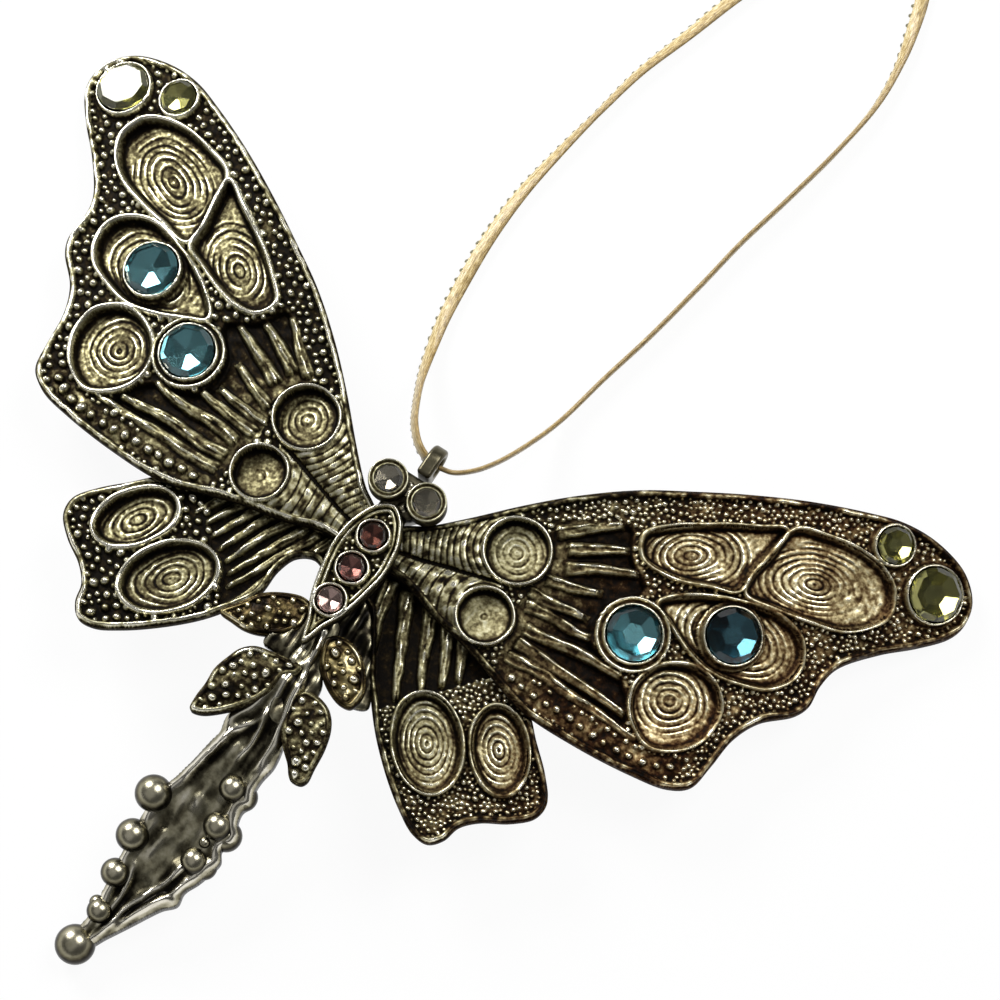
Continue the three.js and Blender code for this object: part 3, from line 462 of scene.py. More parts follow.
class Plan:
    """A fine grid over a plan outline, with the relief's height and tone at each point.

    The tone is 0 where the dark patina is thick and 1 where the metal is rubbed bright. In places it also
    holds painted shade and painted highlight."""

    def __init__(self, points, pitch, level, tone):
        self.outline = through(points, True, OUTLINE_STEPS)
        self.pitch = pitch
        low = self.outline.min(0) - 2 * pitch
        columns, rows = np.ceil((self.outline.max(0) - low) / pitch).astype(int) + 3
        self.x, self.y = np.meshgrid(low[0] + pitch * np.arange(columns), low[1] + pitch * np.arange(rows))
        self.edge = inside_distance(self.x, self.y, self.outline)
        self.clear(level, tone)

    def clear(self, level, tone):
        """Blanks the relief and frees all of it for granules."""
        self.height = np.full(self.x.shape, float(level))
        self.tone = np.full(self.x.shape, float(tone))
        self.free = self.edge > 0

    def waves(self, size, seed):
        """Irregular waves over the grid."""
        return wobble(self.x, self.y, size, seed)

    def put(self, where, height, tone):
        """Replaces the relief at a place."""
        self.height = np.where(where, height, self.height)
        self.tone = np.where(where, tone, self.tone)

    def lift(self, where, height, tone):
        """Raises the relief to a height at a place, where it lies lower."""
        self.put(where & (height > self.height), height, tone)

    def take(self, where):
        """Keeps granules off a place."""
        self.free &= ~where

    def patina_and_painted_light(self):
        """The tone, darker in hollows and brighter on crests."""
        full = np.where(self.edge < 0, -OUTSIDE_DROP, self.height)
        hollow = self.height - blurred(full, CAVITY / self.pitch)
        return np.clip(self.tone + CAVITY_PATINA * hollow, 0, 1)

    def is_free(self, x, y):
        """Whether a granule may lie at a place."""
        row = np.rint((y - self.y[0, 0]) / self.pitch).astype(int)
        column = np.rint((x - self.x[0, 0]) / self.pitch).astype(int)
        return self.free[row, column]

    def granules(self, radius, gap, rows, rng, tries=7000):
        """Granules kept apart by a gap, as (x, y, radius): beaded rows along the edge, then a scatter."""
        spots = []
        after = np.roll(self.outline, -1, 0)
        run = after - self.outline
        steps = np.hypot(*run.T)
        turn = np.sign((self.outline[:, 0] * after[:, 1] - after[:, 0] * self.outline[:, 1]).sum())
        inward = turn * np.stack([-run[:, 1], run[:, 0]], 1) / steps[:, None]
        lengths = np.cumsum(steps)
        for row, spacing in rows:
            for at in np.arange(0, lengths[-1], spacing):
                i = min(int(np.searchsorted(lengths, at)), len(steps) - 1)
                spot = self.outline[i] + (row + rng.normal(0, ROW_SCATTER)) * inward[i]
                spots.append(spot + rng.normal(0, ROW_SCATTER, 2))
        pick = rng.integers(0, self.free.sum(), tries)
        loose = np.stack([self.x[self.free][pick], self.y[self.free][pick]], 1)
        spots += list(loose + rng.uniform(-0.5, 0.5, loose.shape) * self.pitch)
        radii = radius[0] + (radius[1] - radius[0]) * rng.beta(1.6, 2.2, len(spots))
        placed = np.zeros((len(spots), 3))
        count = 0
        for (px, py), r in zip(spots, radii):
            near = np.hypot(placed[:count, 0] - px, placed[:count, 1] - py) < placed[:count, 2] + r + gap
            if not near.any() and self.is_free(px, py):
                placed[count] = px, py, r
                count += 1
        return placed[:count]

    def stamp(self, granules, base, rise, tone, rng):
        """Adds granules to the relief as half balls."""
        x0, y0 = self.x[0, 0], self.y[0, 0]
        for px, py, r in granules:
            c0, c1 = int((px - r - x0) / self.pitch), int((px + r - x0) / self.pitch) + 2
            r0, r1 = int((py - r - y0) / self.pitch), int((py + r - y0) / self.pitch) + 2
            near = np.s_[max(r0, 0):r1, max(c0, 0):c1]
            turn, stretch = rng.uniform(0, math.pi), rng.uniform(1, 1.35)
            along = (self.x[near] - px) * math.cos(turn) + (self.y[near] - py) * math.sin(turn)
            across = (self.y[near] - py) * math.cos(turn) - (self.x[near] - px) * math.sin(turn)
            away = np.hypot(along, across * stretch)
            swell = dome(away, r)
            bump = np.where(away < r, base + rng.uniform(0.75, 1.15) * rise * r * swell, -np.inf)
            higher = bump > self.height[near]
            # Granule tops are brighter and their flanks darker: partly rubbed wear, partly painted highlight
            # and shade
            shade = tone + rng.normal(0, 0.18) + 0.9 * (swell - 0.75)
            self.tone[near] = np.where(higher, shade, self.tone[near])
            self.height[near] = np.maximum(self.height[near], bump)


def only(kind, geom):
    """The parts of one kind among what a mesh operator gives back."""
    return [part for part in geom if isinstance(part, kind)]


def new_piece(name, bm, materials, nodes, slot):
    """A finished piece, at its place in the row frame, standing for CAD nodes."""
    bm.transform(TO_ROW)
    mesh = bpy.data.meshes.new(name)
    bm.to_mesh(mesh)
    bm.free()
    for material in materials:
        mesh.materials.append(material)
    piece = bpy.data.objects.new(name, mesh)
    bpy.context.scene.collection.objects.link(piece)
    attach(piece, "root")
    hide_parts(*nodes)
    return piece


def relief_mesh(plan, top, patina_and_painted_light, back, mirrored=False, strips=()):
    """A casting with a relief top, upright walls and a plain back that is cut into strips across X.

    top holds each grid point's place, and back gives the height of the back at x, y."""
    rows, columns = plan.x.shape
    bm = bmesh.new()
    bmesh.ops.create_grid(bm, x_segments=columns - 1, y_segments=rows - 1, size=1)
    sheet = bpy.data.meshes.new("sheet")
    bm.to_mesh(sheet)
    places = np.empty(3 * len(sheet.vertices))
    sheet.vertices.foreach_get("co", places)
    last = np.array([[columns - 1], [rows - 1], [0]])
    column, row, _ = np.rint((places.reshape(-1, 3).T + 1) / 2 * last).astype(int)
    sheet.vertices.foreach_set("co", top[row, column].ravel())
    sheet.attributes.new("patina_and_painted_light", "FLOAT", "POINT").data.foreach_set("value", patina_and_painted_light[row, column])
    bm.clear()
    bm.from_mesh(sheet)
    bpy.data.meshes.remove(sheet)

    outside = plan.edge[row, column] < -0.7 * plan.pitch
    bmesh.ops.delete(bm, geom=[v for v, out in zip(bm.verts, outside) if out], context="VERTS")
    bmesh.ops.delete(bm, geom=[v for v in bm.verts if not v.link_faces], context="VERTS")
    bmesh.ops.delete(bm, geom=[e for e in bm.edges if not e.link_faces], context="EDGES")

    rim = [v for v in bm.verts if v.is_boundary]
    starts = plan.outline
    runs = np.roll(starts, -1, 0) - starts
    for v in rim:
        at = np.array(v.co[:2])
        share = np.clip(((at - starts) * runs).sum(1) / (runs**2).sum(1), 0, 1)
        near = starts + share[:, None] * runs
        v.co.x, v.co.y = near[np.argmin(((near - at) ** 2).sum(1))]

    layer = bm.verts.layers.float["patina_and_painted_light"]
    walls = bmesh.ops.extrude_edge_only(bm, edges=[e for e in bm.edges if e.is_boundary])["geom"]
    # Painted shade on the outer walls, and a little less dark on the top's outer edge
    for v in only(BMVert, walls):
        v.co.z = back(v.co.x, v.co.y)
        v[layer] = PAINTED_WALL_SHADE
    for v in rim:
        v[layer] = 2 * PAINTED_WALL_SHADE
    for face in bmesh.ops.edgeloop_fill(bm, edges=only(BMEdge, walls))["faces"]:
        face.material_index = 1
    for x in strips:
        faces = [f for f in bm.faces if f.material_index == 1]
        edges = {e for f in faces for e in f.edges}
        verts = {v for f in faces for v in f.verts}
        bmesh.ops.bisect_plane(bm, geom=[*faces, *edges, *verts], plane_co=(x, 0, 0), plane_no=(1, 0, 0))

    if mirrored:
        bmesh.ops.scale(bm, vec=(-1, 1, 1), verts=bm.verts)
    bmesh.ops.recalc_face_normals(bm, faces=bm.faces)
    for face in bm.faces:
        face.smooth = face.material_index == 0
    for edge in bm.edges:
        if len({f.material_index for f in edge.link_faces}) > 1:
            edge.smooth = False
    return bm


# Wings

def droop(x):
    """Height of the drooping wings at x."""
    return -DROOP_RATE * np.maximum(np.abs(x) - DROOP_START, 0) ** 2


def droop_slope(x):
    """How steeply the wings fall at x."""
    return 2 * DROOP_RATE * np.maximum(np.abs(x) - DROOP_START, 0)


def on_wing(x, y, height, level=0.0):
    """Places at a height along the normal of the drooping wing surface."""
    slope = droop_slope(x)
    length = np.sqrt(1 + slope**2)
    return np.stack([x + height * slope / length, y, droop(x) + level + height / length], -1)


def cup_distance(plan, x, y):
    """Distance from a point of the drooping wing, measured along the surface."""
    return np.hypot((plan.x - x) * math.sqrt(1 + droop_slope(x) ** 2), plan.y - y)


RIM_OFFSET = 0.3
RIM_TOP = 0.75
WALL_RUN = 0.6
BOWL_DEPTH = 1.1
BOWL_RISE = 0.25
RIDGE_HEIGHT = 0.17
LIP_TONE = 0.7
# What differs between the left and the right wings, as two values
RIM_HALF = (0.38, 0.28)
# Rims rubbed bright, with painted light between the wings: brighter on the left as painted highlight, darker
# on the right as painted shade
RIM_WEAR_AND_PAINTED_LIGHT = (0.8, 0.28)
RIDGE_PITCH = (1.0, 0.85)
FLOOR_TONE = (0.44, 0.55)
FLOOR_FALL = (0.4, 0.32)
FALL_WAY = ((0.89, 0.45), (-0.89, 0.45))
# Border line tone, with painted light between the wings: bright on the left, near black on the right as
# painted shade
BORDER_WEAR_AND_PAINTED_LIGHT = (0.5, 0.02)
GROUND_TONE = (0.12, 0.3)
GRANULE_SIZES = ((0.34, 0.8), (0.22, 0.5))
GRANULE_GAP = (0.04, -0.02)
GRANULE_TONE = (0.62, 0.7)
MOAT_TONE = (0.25, 0.45)


def rings(plan, outline, middle):
    """Level of oval rings round a middle, about 1 along the outline, with the mean half width."""
    spread, axes = np.linalg.eigh(np.cov((outline - outline.mean(0)).T))
    halves = np.sqrt(2 * spread)
    halves = np.maximum(halves, halves[1] / 1.6)
    dx, dy = plan.x - middle[0], plan.y - middle[1]
    across = [(dx * ax + dy * ay) / half for (ax, ay), half in zip(axes.T, halves)]
    return np.hypot(*across), halves.mean()


def swirl(plan, level, reach, pitch, seed):
    """Height and tone shares of uneven rings: flat bands, each with a dark groove and a worn bright crest."""
    phase = level * reach / pitch + 0.34 * plan.waves(8, seed) + 0.05 * plan.waves(2.6, seed + 1)
    part = phase - np.floor(phase)
    shown = 1 - ease((level - 0.72) / 0.3)
    groove = np.clip(0.65 + 0.5 * plan.waves(4, seed + 3), 0.1, 1) * notch(np.minimum(part, 1 - part), 0.15)
    crest = np.clip(0.5 + 0.8 * plan.waves(4, seed + 2), 0, 1.2) * notch(part - 0.3, 0.13)
    height = 0.5 + shown * (0.55 * (1 - groove) + 0.45 * crest - 0.5)
    return height, shown * (1.2 * crest - 1.1 * groove) + 0.16 * plan.waves(0.8, seed + 9)


def falling(plan, middle, reach, side):
    """Fall of a floor towards one side, as a share of its reach."""
    ax, ay = FALL_WAY[side]
    return np.clip(((plan.x - middle[0]) * ax + (plan.y - middle[1]) * ay) / reach, -1.1, 1.1)


def bowl(plan, outline, middle, side, seed, smooth=0):
    """A sunk cell with a thin raised rim, steep walls and a falling floor of rings, or a smooth one."""
    depth = inside_distance(plan.x, plan.y, outline)
    level, reach = rings(plan, outline, middle)
    band, shade = swirl(plan, level, reach, RIDGE_PITCH[side], seed)
    band = band + smooth * (0.5 - band)
    shade = shade + smooth * (0.4 * plan.waves(1.2, seed + 10) - shade)
    floor = -BOWL_DEPTH + BOWL_RISE * np.clip(level, 0, 1) ** 2 + RIDGE_HEIGHT * band
    floor += 0.02 * plan.waves(0.8, seed + 5)
    floor -= FLOOR_FALL[side] * falling(plan, outline.mean(0), reach, side)
    wall = ease(depth / WALL_RUN)
    inner = ease((depth - 0.3) / 0.7)
    tone = 0.3 + inner * (FLOOR_TONE[side] - 0.3 + 0.42 * shade) + 0.1 * plan.waves(7, seed + 6)
    plan.put(depth > 0, wall * floor + (1 - wall) * 0.2, tone)
    half = RIM_HALF[side] * (1 + 0.35 * plan.waves(9, seed + 11))
    away = depth + RIM_OFFSET + 0.07 * plan.waves(6, seed + 3)
    top = RIM_TOP + 0.12 * plan.waves(5, seed + 4)
    # Rim tone: rubbed wear, with painted highlight on the left wing and painted shade on the right
    tone = RIM_WEAR_AND_PAINTED_LIGHT[side] + 0.2 * plan.waves(4, seed + 7) + 0.14 * plan.waves(1.2, seed + 8)
    plan.lift(np.abs(away) < half, GROUND + (top - GROUND) * dome(away, half) ** 0.7, tone)
    plan.take(depth > -2 * RIM_OFFSET)


LINE_HALF = 0.3


def vein(plan, start, end, half, levels, lean, seed):
    """A broad bar with a flat rough top and a worn bright line along it, which leans to one edge."""
    low, top = levels
    across, along, length = along_line(plan.x, plan.y, start, end)
    across = across + 0.3 * wobble(along, 0 * along, 12, seed) + 0.06 * plan.waves(2.5, seed + 1)
    within = (along > 0) & (along < length)
    half = half * (1.2 - 0.75 * np.clip(along / length, 0, 1))
    fade = ease(along / 1.2) * ease((length - along) / 1.2)
    grain = wobble(along / 3, across, 1.1, seed + 2)
    flat = 1 - ease((np.abs(across) / half - 0.5) / 0.5)
    base = low + (0.72 + 0.08 * grain) * (top - low) * flat * fade
    plan.lift(within & (np.abs(across) < half), base, 0.35 + 0.12 * grain)
    line = across - lean * half + 0.1 * wobble(along, 0 * along, 5, seed + 3)
    crest = 0.85 + 0.15 * wobble(along / 2.5, across, 1.3, seed + 4)
    height = low + (top - low) * crest * fade * dome(line, LINE_HALF)
    tone = 0.58 + 0.5 * wobble(along / 2, across, 1.2, seed + 5)
    plan.lift(within & (np.abs(line) < LINE_HALF), height, tone)
    plan.take(within & (np.abs(across) < half))


def border(plan, tone, seed):
    """A thin uneven line just inside the edge, with the ledge outside it painted dark as painted shade along
    the edge.
    """
    away = plan.edge - BORDER_LEDGE - BORDER_HALF
    away = away + 0.08 * plan.waves(5, seed) + 0.04 * plan.waves(1.6, seed + 4)
    top = BORDER_HEIGHT * (0.85 + 0.15 * plan.waves(6, seed + 1))
    # Painted shade: the ledge along the edge is painted near black
    plan.put(plan.edge < BORDER_LEDGE + BORDER_HALF, 0, 0.12)
    tone = tone + 0.36 * plan.waves(5, seed + 2) + 0.24 * plan.waves(1.3, seed + 3)
    plan.lift(np.abs(away) < BORDER_HALF, top * dome(away, BORDER_HALF), tone)


DISC_TOP = 1.2
DISC_LIP_HALF = 0.26
DISC_FLOOR = -0.8
DISC_FALL = 0.75
DISC_RIDGE_PITCH = 0.9
# Pitch of the ribs in each fan, and the groove between the two fans
FAN_RIBS = (0.85, 1.3)
FAN_GROOVE = ((18.6, 9.8), (4.4, 5.6))


def fans(plan, seed):
    """Two tapered runs of flat ribs from the dishes to the wing's root, which meet in a dark groove."""
    across, _, _ = along_line(plan.x, plan.y, *FAN_GROOVE[::-1])
    for k, (x, y, radius, root) in enumerate(DISCS):
        away = np.hypot(plan.x - x, plan.y - y)
        ahead = (plan.x - x) * (root[0] - x) + (plan.y - y) * (root[1] - y)
        zone = (ahead > 0) & (across > 0 if k == 0 else across < 0) & (away > radius - 0.3)
        phase = (away - radius) / FAN_RIBS[k] + 0.3 * plan.waves(9, seed + k)
        part = phase - np.floor(phase)
        groove = notch(np.minimum(part, 1 - part), 0.1 / FAN_RIBS[k])
        crest = notch(part - 0.3, 0.12 / FAN_RIBS[k]) * (0.6 + 0.6 * plan.waves(2, seed + k + 2))
        grain = 0.03 * np.cos(2 * math.pi * (3.6 * phase + plan.waves(3, seed + k + 4)))
        crown = 0.1 + 0.55 * ease(np.minimum(np.abs(across), plan.edge - BORDER_LEDGE - BORDER_HALF) / 1.7)
        tone = 0.5 - 0.55 * groove + 0.36 * crest + 0.34 * plan.waves(1.8, seed + k + 6)
        plan.put(zone, crown + 0.1 * (1 - groove) + grain, tone)
        plan.take(zone)
    seam = (np.abs(across + 0.1 * plan.waves(4, seed + 8)) < 0.26) & (plan.x < FAN_GROOVE[0][0] - 1)
    plan.put(seam, GROUND, 0.08)


def dish(plan, x, y, radius, plain, side, seed):
    """A round dish with a thin upright lip. A plain one has rings only near its middle."""
    away = cup_distance(plan, x, y)
    inner = radius - 2 * DISC_LIP_HALF
    band, shade = swirl(plan, away / inner, inner, DISC_RIDGE_PITCH, seed)
    band, shade = 0.5 + 0.7 * (band - 0.5), 0.6 * shade
    if plain:
        middle = 1 - ease((away / inner - 0.15) / 0.25)
        band, shade = 0.5 + (band - 0.5) * middle, shade * middle + 0.22 * plan.waves(2.6, seed + 7)
    fall = DISC_FALL * falling(plan, (x, y), inner, side)
    floor = DISC_FLOOR - fall + 0.2 * (away / inner) ** 2 + 0.16 * band + 0.012 * plan.waves(0.8, seed + 4)
    wall = ease((radius - DISC_LIP_HALF - away) / 0.5)
    tone = 0.2 + (FLOOR_TONE[side] - 0.2) * ease((inner - away) / 0.6) + 0.45 * shade
    plan.put(away < radius - DISC_LIP_HALF, wall * floor + (1 - wall) * DISC_TOP, tone)
    lip = away - radius + DISC_LIP_HALF + 0.04 * plan.waves(4, seed + 5)
    tone = LIP_TONE + 0.2 * plan.waves(3, seed + 6)
    plan.lift(np.abs(lip) < DISC_LIP_HALF, DISC_TOP * dome(lip, DISC_LIP_HALF), tone)
    plan.put((away > radius - DISC_LIP_HALF) & (away < radius) & (plan.height < 0.3), 0.3, 0.3)
    plan.take(away < radius)


CUP_LIP_HALF = 0.22
POCKET_FLOOR = -0.85


def stone_cup(plan, x, y, radius, wall, moat_tone, seed):
    """A closed cup round a stone: a thin lip on the stone's edge and a shallow moat inside an outer rim."""
    away = cup_distance(plan, x, y)
    outer = radius + SEAT_GAP + wall
    wide = wall > CUP_WALL
    moat = 0.75 - (0.5 if wide else 0.9) * ease((away - radius) / 0.8)
    moat = moat + 0.5 * ease((away - outer + 0.7) / 0.5) * wide
    plan.put((away < outer) & (plan.height < moat), moat, moat_tone + 0.12 * plan.waves(1.5, seed))
    lips = [(radius + 0.3, CUP_HEIGHT - 0.25)] + [(outer - CUP_LIP_HALF, CUP_HEIGHT - 0.6)] * wide
    for middle, top in lips:
        lip = away - middle + 0.04 * plan.waves(4, seed + 1)
        tone = LIP_TONE - 0.06 + 0.2 * plan.waves(2.5, seed + 2)
        plan.lift(np.abs(lip) < CUP_LIP_HALF, top * dome(lip, CUP_LIP_HALF), tone)
    plan.put(away < radius + 0.06, POCKET_FLOOR, 0.2)
    plan.take(away < outer)


def bead_row(plan, side, rng):
    """A row of larger beads on a paler strip of ground."""
    path = through(BEAD_ROW, False, 24)
    away = path_distance(plan.x, plan.y, path)
    plan.tone += BEAD_GROUND[side] * plan.free * ease((BEAD_STRIP - away) / 0.6)
    lengths = np.concatenate([[0], np.cumsum(np.hypot(*np.diff(path, axis=0).T))])
    for at in np.arange(BEAD_PITCH / 2, lengths[-1], BEAD_PITCH):
        x, y = (np.interp(at, lengths, path[:, k]) + rng.normal(0, 0.1) for k in range(2))
        bead = (x, y, BEAD_RADIUS[side] * rng.uniform(0.85, 1.1))
        plan.stamp([bead], GRANULE_BED, BEAD_RISE, GRANULE_TONE[side] - 0.1, rng)
    plan.take(away < BEAD_STRIP - 0.3)


def granulate(plan, side, rng):
    """Granules over what is left free of the ground."""
    grains = plan.granules(GRANULE_SIZES[side], GRANULE_GAP[side], GRANULE_ROWS, rng)
    plan.stamp(grains, GRANULE_BED, GRANULE_RISE, GRANULE_TONE[side], rng)


def fore_relief(plan, side):
    """The fore wing's relief, in heights above the wing surface."""
    seed = 1000 * side
    ground = GROUND + 0.08 * plan.waves(1.6, seed + 40)
    tone = GROUND_TONE[side] + 0.16 * plan.waves(5, seed + 41) + 0.1 * plan.waves(1.4, seed + 42)
    plan.put(plan.edge > 0, ground, tone)
    bed = inside_distance(plan.x, plan.y, through(VEIN_BED, True, 6))
    away = np.hypot(plan.x - BED_MIDDLE[0], plan.y - BED_MIDDLE[1])
    away = ease((away - BED_START) / BED_RUN)
    sunk = ground - (0.15 + 0.75 * away) * ease(bed / 0.7)
    plan.put(bed > 0, sunk, 0.44 - 0.34 * away + 0.14 * plan.waves(2.4, seed + 43))
    plan.take(bed > -0.2)
    for i, (start, end) in enumerate(VEINS):
        vein(plan, start, end, VEIN_HALF, VEIN_LEVELS, 0.35 * side, seed + 100 + 37 * i)
    for i, (points, middle) in enumerate(FORE_CELLS):
        smooth = 0
        if side == 0 and points is CELL_MIDDLE:
            smooth = ease((SMOOTH_INNER - plan.x) / 1.6)
        if side == 1 and points is CELL_TIP:
            smooth = 0.8 * ease((plan.x - SMOOTH_OUTER) / 3)
        bowl(plan, through(points, True, 6), middle, side, seed + 800 + 11 * i, smooth)
    fans(plan, seed + 860)
    for i, (dx, dy, radius, _) in enumerate(DISCS):
        dish(plan, dx, dy, radius, i == 1, side, seed + 900 + 11 * i)
    for i, (_, sx, sy, radius, wall) in enumerate(WING_STONES):
        stone_cup(plan, sx, sy, radius, wall, MOAT_TONE[side], seed + 940 + 5 * i)
    plan.take(plan.edge < BORDER_LEDGE + 2 * BORDER_HALF)
    rng = np.random.default_rng(70 + side)
    bead_row(plan, side, rng)
    granulate(plan, side, rng)
    # The border's tone differs between the wings as painted light and shade
    border(plan, BORDER_WEAR_AND_PAINTED_LIGHT[side], seed + 990)


# The wings' plain backs are cut into strips that follow the droop, up to each wing's tip
STRIP_WIDTH = 3.0
FORE_REACH = 70
HIND_REACH = 37


def wing(name, plan, side, level, thick, reach, materials):
    """A wing casting from its relief, on the drooping surface at a level."""
    top = on_wing(plan.x, plan.y, np.where(plan.edge <= 0, 0, plan.height), level)
    strips = np.arange(DROOP_START, reach, STRIP_WIDTH)

    def back(x, y):
        return float(droop(x)) + (level - thick)

    bm = relief_mesh(plan, top, plan.patina_and_painted_light(), back, side == 0, strips)
    new_piece(name + "_relief", bm, materials, [name], "antique_gold")


def fore_wings(materials):
    """Both fore wings, each with its own relief."""
    plan = Plan(FORE_OUTLINE, FORE_PITCH, 0, BLANK_TONE)
    for side, label in enumerate(SIDES):
        plan.clear(0, BLANK_TONE)
        fore_relief(plan, side)
        wing(f"fore_wing_{label}", plan, side, 0.0, FORE_THICK, FORE_REACH, materials)


def ellipse(x, y, long, short, turn):
    """The outline of a turned oval."""
    t = np.linspace(0, 2 * math.pi, 72, endpoint=False)
    u, v = long * np.cos(t), short * np.sin(t)
    c, s = math.cos(turn), math.sin(turn)
    return np.stack([x + u * c - v * s, y + u * s + v * c], 1)


def hind_relief(plan, side):
    """The hind wing's relief, which stays low where the fore wing lies over it."""
    seed = 1000 * side + 5000
    tone = GROUND_TONE[side] + 0.14 * plan.waves(4, seed + 1)
    plan.put(plan.edge > 0, GROUND + 0.08 * plan.waves(1.6, seed), tone)
    root = plan.y > HIND_ROOT[0] * plan.x + HIND_ROOT[1]
    # The sunk root is painted near black: patina in the hollow and painted shade under the fore wing and body
    plan.put(root, GROUND - HIND_ROOT_SINK, 0.08 + 0.08 * plan.waves(3, seed + 2))
    plan.take(root)
    for i, (start, end) in enumerate(HIND_VEINS[side]):
        vein(plan, start, end, HIND_VEIN_HALF[side], HIND_VEIN_LEVELS, 0, seed + 100 + 37 * i)
    for i, oval in enumerate(OVALS):
        bowl(plan, ellipse(*oval), oval[:2], side, seed + 600 + 11 * i)
    plan.take(plan.edge < BORDER_LEDGE + 2 * BORDER_HALF)
    rng = np.random.default_rng(90 + side)
    granulate(plan, side, rng)
    # The border is painted darker towards the body, as painted shade
    border(plan, BORDER_WEAR_AND_PAINTED_LIGHT[side] - 0.55 * ease((12 - plan.x) / 4), seed + 900)
    under = inside_distance(plan.x, plan.y, through(FORE_OUTLINE, True, 4))
    plan.height = np.where(under > -SEAT_GAP, np.minimum(plan.height, 0), plan.height)


def hind_wings(materials):
    """Both hind wings, each with its own inner edge and strands."""
    for side, label in enumerate(SIDES):
        plan = Plan(HIND_INNER[side] + HIND_OUTLINE, HIND_PITCH, 0, BLANK_TONE)
        hind_relief(plan, side)
        wing(f"hind_wing_{label}", plan, side, HIND_TOP, HIND_THICK, HIND_REACH, materials)


# Body

PINK_LIP_HALF = 0.3
PINK_LIP_TOP = 1.35
THORAX_LINE_HALF = 0.28
# Raised lines round the thorax, as (distance from the edge, height)
THORAX_LINES = ((0.32, 1.1), (0.98, 0.55))


def body_piece(name, bm, materials):
    """A piece of the body casting."""
    return new_piece(name, bm, materials, ["body_casting"], "antique_pewter")


def level_casting(plan, level, low, edge_height=0):
    """A casting on a level plane, with a flat back."""
    top = np.stack([plan.x, plan.y, level + np.where(plan.edge <= 0, edge_height, plan.height)], -1)
    return relief_mesh(plan, top, plan.patina_and_painted_light(), lambda x, y: low)


def thorax(materials):
    """The medallion: three cups in granulated ground, inside two raised lines."""
    plan = Plan(THORAX_OUTLINE, BODY_PITCH, -0.1, 0.25)
    plan.put(plan.edge > 0, -0.15 + 0.12 * plan.waves(1.2, 3), 0.42 + 0.3 * plan.waves(1.4, 4))
    plan.take(plan.edge < 1.1)
    for i, (_, sx, sy) in enumerate(PINKS):
        away = np.hypot(plan.x - sx, plan.y - sy)
        plan.put(away < PINK_RADIUS + 0.2, 0, 0.2)
        lip = away - PINK_RADIUS - 0.4 + 0.04 * plan.waves(2, 5 + i)
        plan.lift(np.abs(lip) < PINK_LIP_HALF, PINK_LIP_TOP * dome(lip, PINK_LIP_HALF), LIP_TONE - 0.1)
        plan.take(away < PINK_RADIUS + 0.75)
    rng = np.random.default_rng(5)
    plan.stamp(plan.granules((0.22, 0.5), 0.05, (), rng, 600), -0.2, GRANULE_RISE, 0.6, rng)
    plan.put(plan.edge < 0.3, 0.3, 0.3)
    for at, top in THORAX_LINES:
        line = plan.edge - at + 0.05 * plan.waves(4, 11)
        tone = LIP_TONE - 0.08 + 0.2 * plan.waves(3, 12)
        plan.lift(np.abs(line) < THORAX_LINE_HALF, top * dome(line, THORAX_LINE_HALF), tone)
    body_piece("thorax_medallion", level_casting(plan, THORAX_EDGE, THORAX_LOW), materials)


def tail_top(y):
    """Height of the tail's top along its length."""
    ys, zs = np.array(TAIL_PROFILE).T
    return np.interp(y, ys, zs)


def tail(materials):
    """The tail plate: a sunk middle inside a rounded rim, streaked along its length, with soft ridges."""
    plan = Plan(TAIL_OUTLINE, TAIL_PITCH, 0, 0.5)
    x, y = plan.x, plan.y
    rounding = -TAIL_EDGE_DROP * (1 - dome(np.minimum(plan.edge, TAIL_ROUND) - TAIL_ROUND, TAIL_ROUND))
    plane = -TAIL_SINK * ease((plan.edge - 0.9) / 1.5)
    streaks = wobble(x * 2.4, y * 0.5, 3.2, 21) * ease(plan.edge / 1.5)
    neck = -0.7 * ease((y + 17) / 5)
    rim = notch(plan.edge - TAIL_RIM_PLACE, TAIL_RIM_HALF) * (0.75 + 0.35 * plan.waves(5, 23))
    tone = 0.56 + 0.12 * streaks + 0.16 * plan.waves(5, 22) + 0.03 * plan.waves(1.1, 24) + 0.56 * rim
    height = rounding + plane + 0.12 * streaks + 0.24 * plan.waves(3.6, 26) + 0.015 * plan.waves(1.1, 25)
    plan.put(plan.edge > 0, height + 0.25 * rim + neck, tone)
    for half, points in TAIL_RIDGES:
        path = through(points, False, 8)
        away = path_distance(x, y, path)
        ends = np.minimum(*(np.hypot(x - ex, y - ey) for ex, ey in (path[0], path[-1])))
        fade = ease(ends / 2.5) * ease(plan.edge / 0.5)
        plan.tone += fade * (0.6 * notch(away, 0.6 * half) - 0.25 * notch(away - 1.6 * half, half))
        plan.height += TAIL_RIDGE_HEIGHT * fade * notch(away, half)
    plan.height = np.where(plan.edge <= 0, -TAIL_EDGE_DROP + neck, plan.height)
    top = np.stack([x, y, tail_top(y) + plan.height], -1)
    bm = relief_mesh(plan, top, plan.patina_and_painted_light(), lambda x, y: float(tail_top(y)) - TAIL_THICK)
    body_piece("tail_casting", bm, materials)


def finish_smooth(bm, patina_and_painted_light):
    """Gives a piece one tone and smooth shading."""
    layer = bm.verts.layers.float.new("patina_and_painted_light")
    for v in bm.verts:
        v[layer] = patina_and_painted_light
    for face in bm.faces:
        face.smooth = True


def cast_balls(balls, subdivisions, patina_and_painted_light):
    """Balls of cast metal, as (x, y, height, radius)."""
    bm = bmesh.new()
    for *place, r in balls:
        matrix = Matrix.Translation(place)
        bmesh.ops.create_icosphere(bm, subdivisions=subdivisions, radius=r, matrix=matrix)
    finish_smooth(bm, patina_and_painted_light)
    return bm


